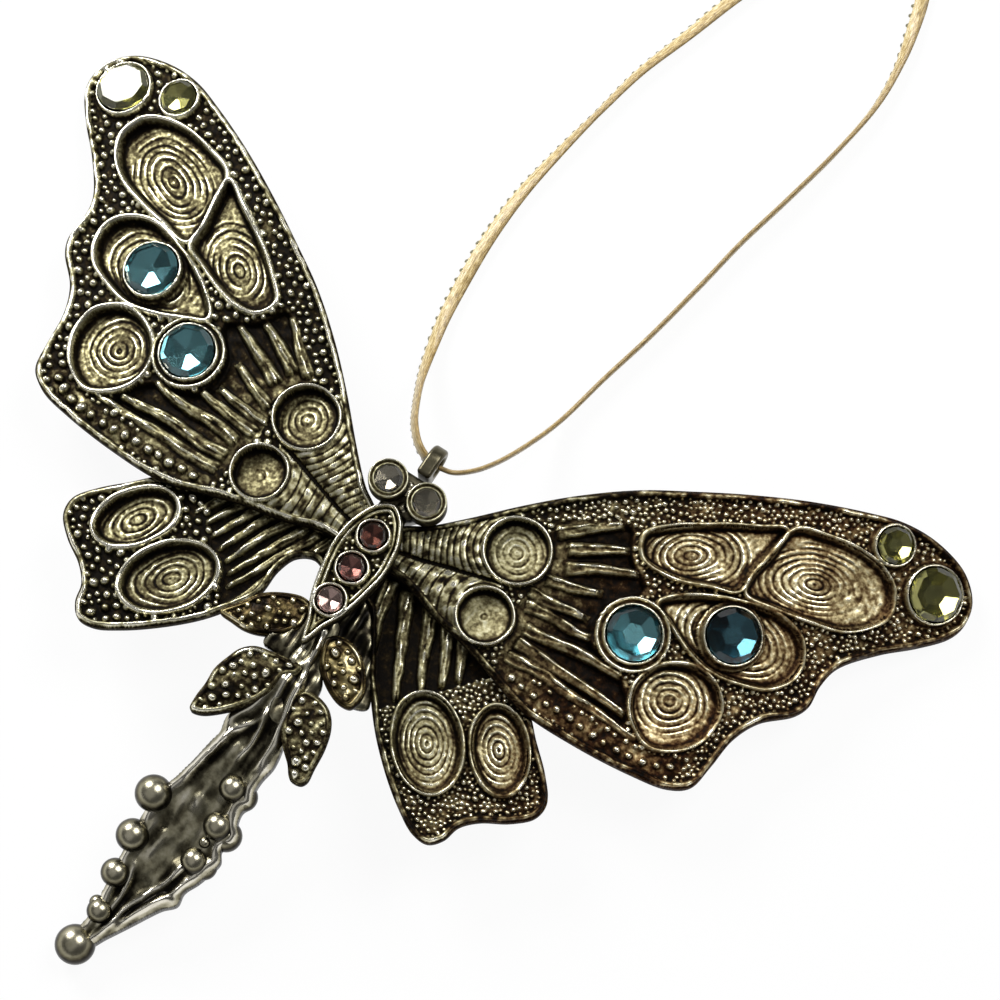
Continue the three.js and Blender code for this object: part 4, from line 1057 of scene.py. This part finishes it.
def tail_balls(materials):
    """The balls along the tail's edges, dark below and bright on top, partly as rubbed wear and partly as
    painted shade and highlight, and the one that it rests on.
    """
    balls = [(x, y, float(tail_top(y)) - sink, r) for x, y, r, sink in TAIL_BALLS]
    x, y, r = TAIL_END
    balls.append((x, y, FLOOR + r, r))
    bm = cast_balls(balls, 4, 0)
    bm.normal_update()
    layer = bm.verts.layers.float["patina_and_painted_light"]
    for v in bm.verts:
        # Brighter the more a point faces up: rubbed wear, with painted highlight on top and painted shade
        # below
        v[layer] = 0.22 + 0.5 * float(ease((v.normal.z - 0.4) / 0.5))
    body_piece("tail_balls", bm, materials)


LEAF_GRANULES = (0.4, 0.85)
LEAF_RIM_PLACE = 0.5
LEAF_RIM_HALF = 0.28
LEAF_RIM_TOP = 0.45


def leaves(finishes):
    """Four granulated leaves with a thin raised rim."""
    for seed, (name, rise, finish, (dark, bright), points) in enumerate(LEAVES):
        plan = Plan(points, BODY_PITCH, 0, 0.3)
        pillow = 0.55 * ease(plan.edge / 2.4)
        ground = 0.05 + pillow + 0.08 * plan.waves(1.2, seed)
        plan.put(plan.edge > 0, ground, dark + 0.2 * plan.waves(3, seed + 10))
        plan.take(plan.edge < 0.75)
        rng = np.random.default_rng(60 + seed)
        for grain in plan.granules(LEAF_GRANULES, 0.1, (), rng, 1500):
            i = np.argmin(np.hypot(plan.x - grain[0], plan.y - grain[1]))
            plan.stamp([grain], plan.height.flat[i] - 0.25, GRANULE_RISE, bright, rng)
        plan.put(plan.edge < 0.45, 0, 0.15)
        line = plan.edge - LEAF_RIM_PLACE + 0.05 * plan.waves(3, seed + 20)
        tone = 0.12 + 0.5 * plan.waves(6, seed + 21)
        plan.lift(np.abs(line) < LEAF_RIM_HALF, LEAF_RIM_TOP * dome(line, LEAF_RIM_HALF), tone)
        body_piece(name, level_casting(plan, LEAF_EDGE + rise, LEAF_LOW), finishes[finish])


WAIST_ROUND = 0.45


def waist(materials):
    """Metal that joins the leaves' stems to the body, and a thin web beside the right hind wing, both painted
    dark as shade.
    """
    for name, points, top, low, tone, node in WAIST_PLATES:
        plan = Plan(points, TAIL_PITCH, 0, tone)
        streaks = wobble(plan.x * 2.2, plan.y * 0.6, 2.4, 31)
        height = WAIST_ROUND * dome(np.minimum(plan.edge, 1) - 1, 1) - WAIST_ROUND + 0.16 * streaks
        plan.put(plan.edge > 0, height, tone + 0.2 * streaks + 0.1 * plan.waves(1.5, 32))
        new_piece(name, level_casting(plan, top, low, -WAIST_ROUND), materials, [node], "antique_pewter")


def thicken(bm, faces, vec, keep):
    """Extrudes faces along a vector, and keeps them as the other end if asked to."""
    grown = bmesh.ops.extrude_face_region(bm, geom=faces, use_keep_orig=keep)["geom"]
    bmesh.ops.translate(bm, vec=vec, verts=only(BMVert, grown))
    bmesh.ops.recalc_face_normals(bm, faces=bm.faces)


def spin_round(bm, verts, middle, steps):
    """Turns a run of vertices once round an upright axis."""
    edges = [bm.edges.new(pair) for pair in zip(verts, verts[1:])]
    bmesh.ops.spin(
        bm, geom=verts + edges, axis=(0, 0, 1), cent=middle, angle=2 * math.pi, steps=steps, use_merge=True,
    )


def close_up(bm, dist):
    """Merges the seams, fills the open ends, turns the faces outwards and shades them smooth."""
    bmesh.ops.remove_doubles(bm, verts=bm.verts, dist=dist)
    bmesh.ops.holes_fill(bm, edges=[e for e in bm.edges if e.is_boundary], sides=0)
    bmesh.ops.recalc_face_normals(bm, faces=bm.faces)
    for face in bm.faces:
        face.smooth = True


def rounded_block(points, low, high, radius):
    """An upright block with rounded edges."""
    bm = bmesh.new()
    face = bm.faces.new([bm.verts.new((x, y, low)) for x, y in points])
    thicken(bm, [face], (0, 0, high - low), False)
    bmesh.ops.bevel(bm, geom=bm.edges, offset=radius, segments=3, profile=0.5, affect="EDGES", material=-1)
    return bm


def head(materials):
    """The block that carries the eyes."""
    half = (EYES[1][1] - EYES[0][1]) / 2 + EYE_RADIUS
    middle = (EYES[1][1] + EYES[0][1]) / 2
    eye_y = EYES[0][2]
    neck = SPINE_HALF - 0.5
    outline = [
        (middle - neck, HEAD_NECK), (middle + neck, HEAD_NECK), (middle + half, eye_y),
        (middle + half, eye_y + 1), (middle + half / 2, HEAD_CROWN), (middle - half / 2, HEAD_CROWN),
        (middle - half, eye_y + 1), (middle - half, eye_y),
    ]
    bm = rounded_block(outline, HEAD_LOW, HEAD_TOP, HEAD_ROUND)
    finish_smooth(bm, 0.3)
    body_piece("head_block", bm, materials)


def spine(materials):
    """The flat bar under the body that the wings are soldered to."""
    rear, front = SPINE_ENDS
    corners = [(-SPINE_HALF, rear), (SPINE_HALF, rear), (SPINE_HALF, front), (-SPINE_HALF, front)]
    bm = rounded_block(corners, HIND_TOP - HIND_THICK, THORAX_LOW, SPINE_ROUND)
    finish_smooth(bm, 0.35)
    body_piece("spine_bar", bm, materials)


def eye_cups(materials):
    """Two turned cups, with an outer lip and a thin inner one on the stone's edge."""
    outer = EYE_RADIUS + SEAT_GAP + EYE_CUP_WALL
    # Radius, height and tone
    profile = [
        (outer, EYE_CUP_LOW, 0.2), (outer, EYE_GIRDLE - 0.7, 0.25), (outer - 0.02, EYE_GIRDLE, 0.45),
        (outer - 0.06, EYE_GIRDLE + 0.2, 0.75), (outer - 0.15, EYE_GIRDLE + 0.28, 0.85),
        (outer - 0.26, EYE_GIRDLE + 0.2, 0.7), (outer - 0.34, EYE_GIRDLE - 0.05, 0.25),
        (EYE_RADIUS + 0.2, EYE_GIRDLE - 0.05, 0.3), (EYE_RADIUS + 0.1, EYE_GIRDLE + 0.12, 0.65),
        (EYE_RADIUS, EYE_GIRDLE + 0.13, 0.7), (EYE_RADIUS - 0.02, EYE_GIRDLE - 0.1, 0.2),
        (EYE_RADIUS - 0.02, EYE_GIRDLE - 0.6, 0.1), (EYE_RADIUS - 0.5, EYE_GIRDLE - 1.1, 0.1),
        (0.01, EYE_GIRDLE - 1.1, 0.1),
    ]
    bm = bmesh.new()
    layer = bm.verts.layers.float.new("patina_and_painted_light")
    for _, x, y in EYES:
        verts = [bm.verts.new((x + r, y, z)) for r, z, _ in profile]
        for v, (_, _, tone) in zip(verts, profile):
            v[layer] = tone
        spin_round(bm, verts, (x, y, 0), ROUND_STEPS)
    close_up(bm, 1e-4)
    body_piece("eye_cups", bm, materials)


def solder(materials):
    """Beads of solder between the eye cups."""
    body_piece("solder_beads", cast_balls(SOLDER, 3, 0.75), materials)


def bail(materials):
    """A thick loop with rounded edges, soldered behind the head, with the braid's hole across it."""
    bm = bmesh.new()
    loops = []
    for radius in (BAIL_RADIUS, BAIL_HOLE):
        verts = []
        for k in range(ROUND_STEPS):
            a = 2 * math.pi * k / ROUND_STEPS
            y, z = radius * math.cos(a), radius * math.sin(a)
            if radius == BAIL_RADIUS and y < 0:
                stretch = BAIL_RADIUS / max(abs(y), abs(z))
                y, z = y * stretch, z * stretch
            verts.append(bm.verts.new((BAIL_X - BAIL_WIDTH / 2, BAIL_Y + y, BAIL_RISE + z)))
        loops += [bm.edges.new(pair) for pair in zip(verts, verts[1:] + verts[:1])]
    thicken(bm, bmesh.ops.bridge_loops(bm, edges=loops)["faces"], (BAIL_WIDTH, 0, 0), True)
    sharp = [e for e in bm.edges if len(e.link_faces) == 2 and e.calc_face_angle() > 1]
    bmesh.ops.bevel(bm, geom=sharp, offset=BAIL_ROUND, segments=6, profile=0.5, affect="EDGES", material=-1)
    finish_smooth(bm, 0.4)
    new_piece("bail_loop", bm, materials, ["hanging_bail"], "antique_pewter")


# Stones

def gem(name, place, tilt, radius, glass, foil, slot):
    """A stone cut from a round blank: a table, eight crown facets, and a foiled pavilion of six facets."""
    turn, lean_x, lean_y, slope = SEATS[name]
    rise = (CROWN_SHARE - GIRDLE_SHARE) / (1 - TABLE_SHARE)
    culet = -GIRDLE_SHARE - slope * (1 - CULET_SHARES[slope > DEEP_SLOPE])
    cuts = [((0, 0, CROWN_SHARE), (0, 0, 1)), ((0, 0, culet), (0, 0, -1))]
    for facets, height, lean, up in (
        (CROWN_FACETS, GIRDLE_SHARE, rise, 1), (PAVILION_FACETS, -GIRDLE_SHARE, slope, -1),
    ):
        for k in range(facets):
            a = 2 * math.pi * k / facets
            cuts.append(((math.cos(a), math.sin(a), height), (lean * math.cos(a), lean * math.sin(a), up)))
    bm = bmesh.new()
    blank = {"segments": ROUND_STEPS, "radius1": radius, "radius2": radius, "depth": 2 * radius}
    bmesh.ops.create_cone(bm, cap_ends=True, **blank)
    for point, normal in cuts:
        whole = [*bm.verts, *bm.edges, *bm.faces]
        cut = bmesh.ops.bisect_plane(
            bm, geom=whole, plane_co=Vector(point) * radius, plane_no=normal, clear_outer=True,
        )["geom_cut"]
        bmesh.ops.edgeloop_fill(bm, edges=only(BMEdge, cut))
    bmesh.ops.recalc_face_normals(bm, faces=bm.faces)
    for face in bm.faces:
        face.material_index = 1 if face.normal.z < -0.1 else 0
    table = Vector((math.sin(tilt) + lean_x, lean_y, math.cos(tilt)))
    seat = Vector((0, 0, 1)).rotation_difference(table).to_matrix().to_4x4()
    bm.transform(Matrix.Translation(place) @ seat @ Matrix.Rotation(math.radians(turn), 4, "Z"))
    return new_piece(name + "_cut", bm, [glass, foil], [name], slot)


def stones(finishes):
    """Every stone in its cup, with its glass and its foil."""
    for sign, side in zip((-1, 1), SIDES):
        for name, x, y, radius, _ in WING_STONES:
            tilt = math.atan(droop_slope(x))
            place = on_wing(np.float64(x), np.float64(y), WING_GIRDLE)
            place[0] *= sign
            colour = name.split("_")[0]
            finish = finishes.get(f"{name}_{side}", finishes[colour])
            gem(f"{name}_{side}", place, sign * tilt, radius, *finish, f"{colour}_glass")
    for name, x, y in PINKS:
        gem(name, (x, y, PINK_GIRDLE), 0, PINK_RADIUS, *finishes[name], "pink_glass")
    for name, x, y in EYES:
        gem(name, (x, y, EYE_GIRDLE), 0, EYE_RADIUS, *finishes["clear"], "clear_glass")


# Braid

BRAID_SIDES = 20
BRAID_STEP = 0.24
PICOT_PITCH = 1.46
PICOT_REACH = 0.34
WEAVE_PITCH = 0.73
FLOOR_CLEARANCE = 0.02


def ribbon(path, turns, width, picots):
    """A flat ribbon along a path. turns gives its twist, in degrees, at shares of its length."""
    lengths = np.concatenate([[0], np.cumsum(np.linalg.norm(np.diff(path, axis=0), axis=1))])
    count = int(lengths[-1] / BRAID_STEP)
    places = np.linspace(0, lengths[-1], count)
    path = np.stack([np.interp(places, lengths, path[:, k]) for k in range(3)], 1)
    along = np.gradient(path, axis=0)
    along /= np.linalg.norm(along, axis=1)[:, None]
    side = np.cross(along, (0, 0, 1))
    side /= np.linalg.norm(side, axis=1)[:, None]
    front = np.cross(side, along)
    shares, degrees = zip(*turns)
    twist = np.radians(np.interp(places / lengths[-1], shares, degrees))[:, None]
    wide = side * np.cos(twist) + front * np.sin(twist)
    thick = np.cross(wide, along)
    around = np.linspace(0, 2 * math.pi, BRAID_SIDES + 1)
    u = np.sign(np.cos(around)) * np.abs(np.cos(around)) ** 0.8
    v = np.sign(np.sin(around)) * np.abs(np.sin(around)) ** 0.9
    loop = ease(-1.6 * np.cos(2 * math.pi * places / PICOT_PITCH))[:, None] * picots
    across = (width / 2 - PICOT_REACH) * u[None] + PICOT_REACH * loop * np.where(u < -0.85, -1, 0)[None]
    weave = 1 + 0.02 * np.cos(2 * math.pi * (places[:, None] / WEAVE_PITCH + 0.9 * np.abs(u)))
    deep = BRAID_THICK / 2 * v[None] * weave
    points = path[:, None] + wide[:, None] * across[..., None] + thick[:, None] * deep[..., None]
    points[..., 2] = np.maximum(points[..., 2], FLOOR + FLOOR_CLEARANCE)

    bm = bmesh.new()
    bmesh.ops.create_grid(bm, x_segments=BRAID_SIDES, y_segments=count - 1, size=1)
    layer = bm.loops.layers.uv.new("weave")
    for vert in bm.verts:
        column = round((vert.co.x + 1) / 2 * BRAID_SIDES)
        row = round((vert.co.y + 1) / 2 * (count - 1))
        for loop in vert.link_loops:
            loop[layer].uv = (column / BRAID_SIDES, places[row] * MM)
        vert.co = points[row, column]
    close_up(bm, 1e-5)
    return bm, path, lengths[-1]


def above_floor(route, steps):
    """A smooth path along a route whose heights are above the floor."""
    path = through(route, False, steps)
    path[:, 2] += FLOOR
    return path


def strand(name, route, turns, satin, with_pieces):
    """One strand of the hanging loop, from the bail to the knot."""
    bm, path, length = ribbon(above_floor(route, 30), turns, BRAID_WIDTH, 1)
    piece = new_piece(name + "_braid", bm, [satin], [name], "satin_braid")
    row_path = [TO_ROW @ Vector(p) for p in path]
    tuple(row_path[0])


def knot(satin):
    """The knot that closes the loop: the braid wound in three bights, with two short ends."""
    x, y, z = KNOT_PLACE
    t = np.linspace(0, 2 * math.pi, 160)
    reach = KNOT_RADIUS / 4.4 * (2 + np.cos(3 * t))
    height = FLOOR + z + 0.8 * np.sin(3 * t)
    path = np.stack([x + reach * np.cos(2 * t), y + 0.85 * reach * np.sin(2 * t), height], 1)
    bm, _, _ = ribbon(path, [(0, 25), (1, 25)], KNOT_WIDTH, 0)
    pieces = [new_piece("knot_bights", bm, [satin], ["cord_knot"], "satin_braid")]
    for side, label in zip((-1, 1), SIDES):
        route = [(x, y, z), (x + side * 1.0, y + 3, z - 0.7), (x + side * 2.3, y + 8.4, 0.7)]
        bm, _, _ = ribbon(above_floor(route, 12), [(0, 40), (1, 10)], KNOT_END_WIDTH, 1)
        pieces.append(new_piece(f"knot_end_{label}", bm, [satin], ["cord_knot"], "satin_braid"))
    return pieces


# Finishes

def linear(colour):
    """An sRGB hex colour as linear values."""
    parts = [int(colour[i:i + 2], 16) / 255 for i in (1, 3, 5)]
    return (*(p / 12.92 if p <= 0.04045 else ((p + 0.055) / 1.055) ** 2.4 for p in parts), 1)


def add(tree, kind, inputs=None, out=0, stops=(), **settings):
    """Adds a node with its settings, and its inputs as values or as sockets to link, and gives one output.

    stops are the colours of a colour ramp, as (place, hex colour)."""
    made = tree.nodes.new(kind)
    for name, value in settings.items():
        setattr(made, name, value)
    for name, value in (inputs or {}).items():
        if isinstance(value, bpy.types.NodeSocket):
            tree.links.new(value, made.inputs[name])
        else:
            made.inputs[name].default_value = value
    for _ in stops[2:]:
        made.color_ramp.elements.new(0.5)
    for i, (place, colour) in enumerate(stops):
        made.color_ramp.elements[i].position = place
        made.color_ramp.elements[i].color = linear(colour)
    return made.outputs[out] if made.outputs else None


def new_material(name):
    """A material with no nodes yet, and its node tree."""
    material = bpy.data.materials.new(name)
    material.use_nodes = True
    material.node_tree.nodes.clear()
    return material, material.node_tree


# Wear of the plating, from thick dark patina to metal rubbed bright, and the colours of each plating along it
WEAR = (0, 0.22, 0.42, 0.6, 0.8, 1)
GOLD_TONES = ("#080502", "#221a0d", "#59523a", "#918b69", "#c1bda1", "#ebe7d6")
PEWTER_TONES = ("#080604", "#221e15", "#605b49", "#959079", "#bfb9a4", "#e6e1d2")
AMBER_TONES = ("#0c0703", "#2a2012", "#5d5133", "#8d815b", "#bbb08a", "#e8e2cc")
COPPER_TONES = ("#0c0502", "#34190b", "#735231", "#a58c64", "#c9ba95", "#ebe3c8")
# Millimetres: clouds of wear, the sandy cast skin and its depth, and patches of copper towards the right
CLOUD_SIZE = 1.6
SAND_SIZE = 0.5
SAND_DEPTH = 0.1
PATCH_SIZE = 14
COPPER_START = 15
COPPER_FULL = 40


def antiqued_metal(name, tones, bright_rough, dark_rough, grain=0.4):
    """Cast metal, plated, blackened and rubbed back: crests shine and recesses keep the dark patina."""
    material, tree = new_material(name)
    place = add(tree, "ShaderNodeTexCoord", out="Object")
    # The tone attribute holds patina and wear, and on some pieces painted shade and painted highlight
    patina_and_painted_light = add(tree, "ShaderNodeAttribute", out="Fac", attribute_name="patina_and_painted_light")
    cloud, sand, patch = (
        add(tree, "ShaderNodeTexNoise", {"Vector": place, "Scale": 1 / (size * MM), "Detail": detail})
        for size, detail in ((CLOUD_SIZE, 5), (SAND_SIZE, 4), (PATCH_SIZE, 2))
    )
    shift = add(tree, "ShaderNodeMath", {0: cloud, 1: 0.4, 2: -0.2}, operation="MULTIPLY_ADD")
    speck = add(tree, "ShaderNodeMath", {0: sand, 1: 2 * grain, 2: -grain}, operation="MULTIPLY_ADD")
    shift = add(tree, "ShaderNodeMath", {0: shift, 1: speck}, operation="ADD")
    worn = add(tree, "ShaderNodeMath", {0: patina_and_painted_light, 1: shift}, operation="ADD", use_clamp=True)
    plain, copper = (
        add(tree, "ShaderNodeValToRGB", {"Fac": worn}, stops=list(zip(WEAR, colours)))
        for colours in (tones, COPPER_TONES)
    )
    across = add(tree, "ShaderNodeSeparateXYZ", {"Vector": place}, out="X")
    right = add(tree, "ShaderNodeMapRange", {
        "Value": across, "From Min": COPPER_START * MM, "From Max": COPPER_FULL * MM,
    })
    warm = add(tree, "ShaderNodeMath", {0: right, 1: patch}, operation="MULTIPLY")
    colour = add(tree, "ShaderNodeMix", {"Factor": warm, 6: plain, 7: copper}, out=2, data_type="RGBA")
    metallic = add(tree, "ShaderNodeMapRange", {"Value": worn, "From Max": 0.5, "To Min": 0.8, "To Max": 1})
    rough = add(tree, "ShaderNodeMapRange", {
        "Value": worn, "From Min": 0.45, "From Max": 0.95, "To Min": dark_rough, "To Max": bright_rough,
    })
    bump = add(tree, "ShaderNodeBump", {"Height": sand, "Strength": grain, "Distance": SAND_DEPTH * MM})
    shader = add(tree, "ShaderNodeBsdfPrincipled", {
        "Base Color": colour, "Metallic": metallic, "Roughness": rough, "Specular IOR Level": 0.25,
        "Normal": bump,
    })
    add(tree, "ShaderNodeOutputMaterial", {"Surface": shader})
    return material


def cut_glass(name, colour):
    """Polished cut glass: clear and tinted, with sharp reflections."""
    material, tree = new_material(name)
    shader = add(tree, "ShaderNodeBsdfPrincipled", {
        "Base Color": linear(colour), "Roughness": 0.05, "IOR": 1.54, "Transmission Weight": 1.0,
    })
    add(tree, "ShaderNodeOutputMaterial", {"Surface": shader})
    return material


def mirror_foil(name, colour):
    """Foil painted on the back of a stone, which throws the light back through it."""
    material, tree = new_material(name)
    shader = add(tree, "ShaderNodeBsdfPrincipled", {
        "Base Color": linear(colour), "Metallic": 1.0, "Roughness": 0.15,
    })
    add(tree, "ShaderNodeOutputMaterial", {"Surface": shader})
    return material


SATIN_STOPS = [(0, "#7d6638"), (0.3, "#ab9158"), (0.65, "#cfbb86"), (1, "#eee4c4")]
# Painted shade of the picot loops
PICOT_SHADE_COLOUR = "#6f6a4e"
# Threads round the braid, and how deep they lie, in millimetres
THREAD_COUNT = 34
THREAD_DEPTH = 0.08


def satin_thread(name):
    """Flat woven satin braid: cream-gold rayon in long fine threads, with small picots on one edge. One edge
    is painted brighter and the other darker as painted light and shade, and the picots get dark dots as their
    painted shade.
    """
    material, tree = new_material(name)
    weave = add(tree, "ShaderNodeUVMap", uv_map="weave")
    parts = add(tree, "ShaderNodeSeparateXYZ", {"Vector": weave}).node.outputs
    along = add(tree, "ShaderNodeMath", {0: parts["Y"], 1: 1 / MM}, operation="MULTIPLY")
    around = add(tree, "ShaderNodeMath", {0: parts["X"], 1: THREAD_COUNT}, operation="MULTIPLY")
    place = add(tree, "ShaderNodeCombineXYZ", {"X": along, "Y": around})
    threads = add(tree, "ShaderNodeTexNoise", {"Vector": place, "Scale": 0.9, "Detail": 3})
    # Painted light and shade across the braid: the edge in the middle of the weave map is painted a little
    # brighter, the edge at its sides much darker
    side = add(tree, "ShaderNodeMath", {0: parts["X"], 1: 0.5}, operation="SUBTRACT")
    side = add(tree, "ShaderNodeMath", {0: side}, operation="ABSOLUTE")
    painted_edge_shade = add(tree, "ShaderNodeMapRange", {
        "Value": side, "From Min": 0.16, "From Max": 0.42, "To Min": 0.12, "To Max": -0.42,
    })
    tone = add(tree, "ShaderNodeMapRange", {"Value": threads, "From Min": 0.28, "From Max": 0.72})
    lit = add(tree, "ShaderNodeMath", {0: tone, 1: painted_edge_shade}, operation="ADD", use_clamp=True)
    colour = add(tree, "ShaderNodeValToRGB", {"Fac": lit}, stops=SATIN_STOPS)
    # Painted shade: dark dots at the picots along one edge
    edge = add(tree, "ShaderNodeMath", {0: side, 1: 0.03, 2: 0.06}, operation="COMPARE")
    beat = add(tree, "ShaderNodeMath", {0: along, 1: PICOT_PITCH}, operation="FLOORED_MODULO")
    loop = add(tree, "ShaderNodeMath", {0: beat, 1: PICOT_PITCH / 2, 2: 0.26}, operation="COMPARE")
    picot_shade = add(tree, "ShaderNodeMath", {0: edge, 1: loop}, operation="MULTIPLY")
    dark = {"Factor": picot_shade, 6: colour, 7: linear(PICOT_SHADE_COLOUR)}
    colour = add(tree, "ShaderNodeMix", dark, out=2, data_type="RGBA")
    bump = add(tree, "ShaderNodeBump", {"Height": tone, "Strength": 0.3, "Distance": THREAD_DEPTH * MM})
    shader = add(tree, "ShaderNodeBsdfPrincipled", {
        "Base Color": colour, "Roughness": 0.38, "Sheen Weight": 0.25, "Sheen Roughness": 0.4, "Normal": bump,
    })
    add(tree, "ShaderNodeOutputMaterial", {"Surface": shader})
    return material


# Studio, in metres

SWEEP_RADIUS = 3.0
SWEEP_HEIGHT = 0.75
SWEEP_CORNER = 0.6
SWEEP_STEPS = 64
PAPER_GLOW = 0.94
SKY_STRENGTH = 0.09
# Softboxes, as (name, bearing and elevation in degrees, distance, size, power in watts)
SOFTBOXES = [
    ("key_softbox", 120, 35, 0.7, 0.28, 5),
    ("right_softbox", 36, 55, 1.0, 0.5, 6),
    ("left_softbox", 215, 66, 1.0, 1.0, 1),
]


def white_paper():
    """Matt white paper. The eye, reflections and glass see it as nearly even white, with a faint shadow."""
    material, tree = new_material("white_paper")
    rays = add(tree, "ShaderNodeLightPath").node.outputs
    seen = rays["Is Camera Ray"]
    for kind in ("Is Glossy Ray", "Is Transmission Ray"):
        seen = add(tree, "ShaderNodeMath", {0: seen, 1: rays[kind]}, operation="MAXIMUM")
    share = add(tree, "ShaderNodeMath", {0: seen, 1: PAPER_GLOW}, operation="MULTIPLY")
    paper = add(tree, "ShaderNodeBsdfDiffuse", {"Color": linear("#f4f4f4")})
    glow = add(tree, "ShaderNodeEmission", {"Color": linear("#ffffff"), "Strength": 1.0})
    mixed = add(tree, "ShaderNodeMixShader", {0: share, 1: paper, 2: glow})
    add(tree, "ShaderNodeOutputMaterial", {"Surface": mixed})
    return material


def white_sweep():
    """A floor that sweeps up into a backdrop all round."""
    flat = SWEEP_RADIUS - SWEEP_CORNER
    profile = [(0, 0), (flat, 0)]
    for a in np.linspace(0.1, math.pi / 2, 10):
        profile.append((flat + SWEEP_CORNER * math.sin(a), SWEEP_CORNER - SWEEP_CORNER * math.cos(a)))
    profile.append((SWEEP_RADIUS, SWEEP_HEIGHT))
    bm = bmesh.new()
    spin_round(bm, [bm.verts.new((x, 0, z)) for x, z in profile], (0, 0, 0), SWEEP_STEPS)
    bmesh.ops.remove_doubles(bm, verts=bm.verts, dist=1e-5)
    bmesh.ops.recalc_face_normals(bm, faces=bm.faces)
    for face in bm.faces:
        face.smooth = True
    mesh = bpy.data.meshes.new("white_sweep")
    bm.to_mesh(mesh)
    bm.free()
    mesh.materials.append(white_paper())
    sweep = bpy.data.objects.new("white_sweep", mesh)
    bpy.context.scene.collection.objects.link(sweep)


def dim_sky():
    """Weak even light from all round."""
    world = bpy.data.worlds.new("dim_studio")
    bpy.context.scene.world = world
    world.use_nodes = True
    sky = world.node_tree.nodes["Background"].inputs
    sky["Color"].default_value = linear("#ffffff")
    sky["Strength"].default_value = SKY_STRENGTH


def softbox(name, bearing, elevation, distance, size, power):
    """A square softbox. Bearing is measured in the picture: 0 to its right, 90 to its top."""
    a = math.radians(bearing + VIEW_AZIMUTH)
    e = math.radians(elevation)
    direction = Vector((math.cos(a) * math.cos(e), math.sin(a) * math.cos(e), math.sin(e)))
    lamp = bpy.data.lights.new(name, "AREA")
    lamp.size = size
    lamp.energy = power
    box = bpy.data.objects.new(name, lamp)
    box.location = direction * distance
    box.rotation_euler = direction.to_track_quat("Z", "Y").to_euler()
    bpy.context.scene.collection.objects.link(box)


def camera():
    """A long lens, high over the ornament."""
    a, e = math.radians(VIEW_AZIMUTH), math.radians(VIEW_ELEVATION)
    back = Vector((math.sin(a) * math.cos(e), -math.cos(a) * math.cos(e), math.sin(e)))
    eye = bpy.data.objects.new("camera", bpy.data.cameras.new("camera"))
    eye.data.lens = LENS
    eye.data.sensor_width = SENSOR
    eye.data.clip_start = 0.01
    eye.location = TO_ROW @ (VIEW_AIM + back * VIEW_DISTANCE)
    eye.rotation_euler = (-back).to_track_quat("-Z", "Y").to_euler()
    bpy.context.scene.collection.objects.link(eye)
    bpy.context.scene.camera = eye


# Each stone's glass and the foil behind it
GLASS = {
    "aqua": ("#d2e8ea", "#78a2a8"),
    # Painted shade: the outer right aqua stone has darker glass and foil than the other aquas
    "aqua_stone_outer_right": ("#c2d8de", "#46646c"),
    "green": ("#f2f1d8", "#a3a171"),
    "clear": ("#f4f4f0", "#8a8476"),
    # Painted light and shade: the same pink glass is tinted darker on the upper stone and paler on the lower
    "pink_stone_upper": ("#d6bcb2", "#7a584e"),
    "pink_stone_middle": ("#e2ccc6", "#94746e"),
    "pink_stone_lower": ("#f2e8e4", "#ccb6b0"),
}

camera()
# Each finish has its roughness where it is rubbed bright and where it is dark, and its grain
gold = antiqued_metal("antiqued_gold_plate", GOLD_TONES, 0.22, 0.6)
gold_back = antiqued_metal("antiqued_gold_back", GOLD_TONES, 0.3, 0.4)
pewter = antiqued_metal("antiqued_pewter", PEWTER_TONES, 0.2, 0.34, 0.16)
polished = antiqued_metal("polished_pewter", PEWTER_TONES, 0.26, 0.3, 0.04)
amber = antiqued_metal("amber_washed_plate", AMBER_TONES, 0.24, 0.4, 0.2)
satin = satin_thread("satin_braid_thread")
strand("cord_left", CORD_LEFT_ROUTE, LEFT_TWIST, satin, [])
strand("cord_right", CORD_RIGHT_ROUTE, RIGHT_TWIST, satin, knot(satin))
fore_wings([gold, gold_back])
hind_wings([gold, gold_back])
thorax([gold, gold_back])
leaves({"gold": [gold, gold_back], "amber": [amber, gold_back]})
tail([pewter, pewter])
tail_balls([polished])
waist([pewter, pewter])
head([pewter])
spine([pewter])
eye_cups([gold])
solder([pewter])
bail([polished])
stones({
    colour: (cut_glass(f"{colour}_cut_glass", tint), mirror_foil(f"{colour}_mirror_foil", back))
    for colour, (tint, back) in GLASS.items()
})
white_sweep()
dim_sky()
for box in SOFTBOXES:
    softbox(*box)

bpy.context.scene.view_settings.view_transform = "Standard"
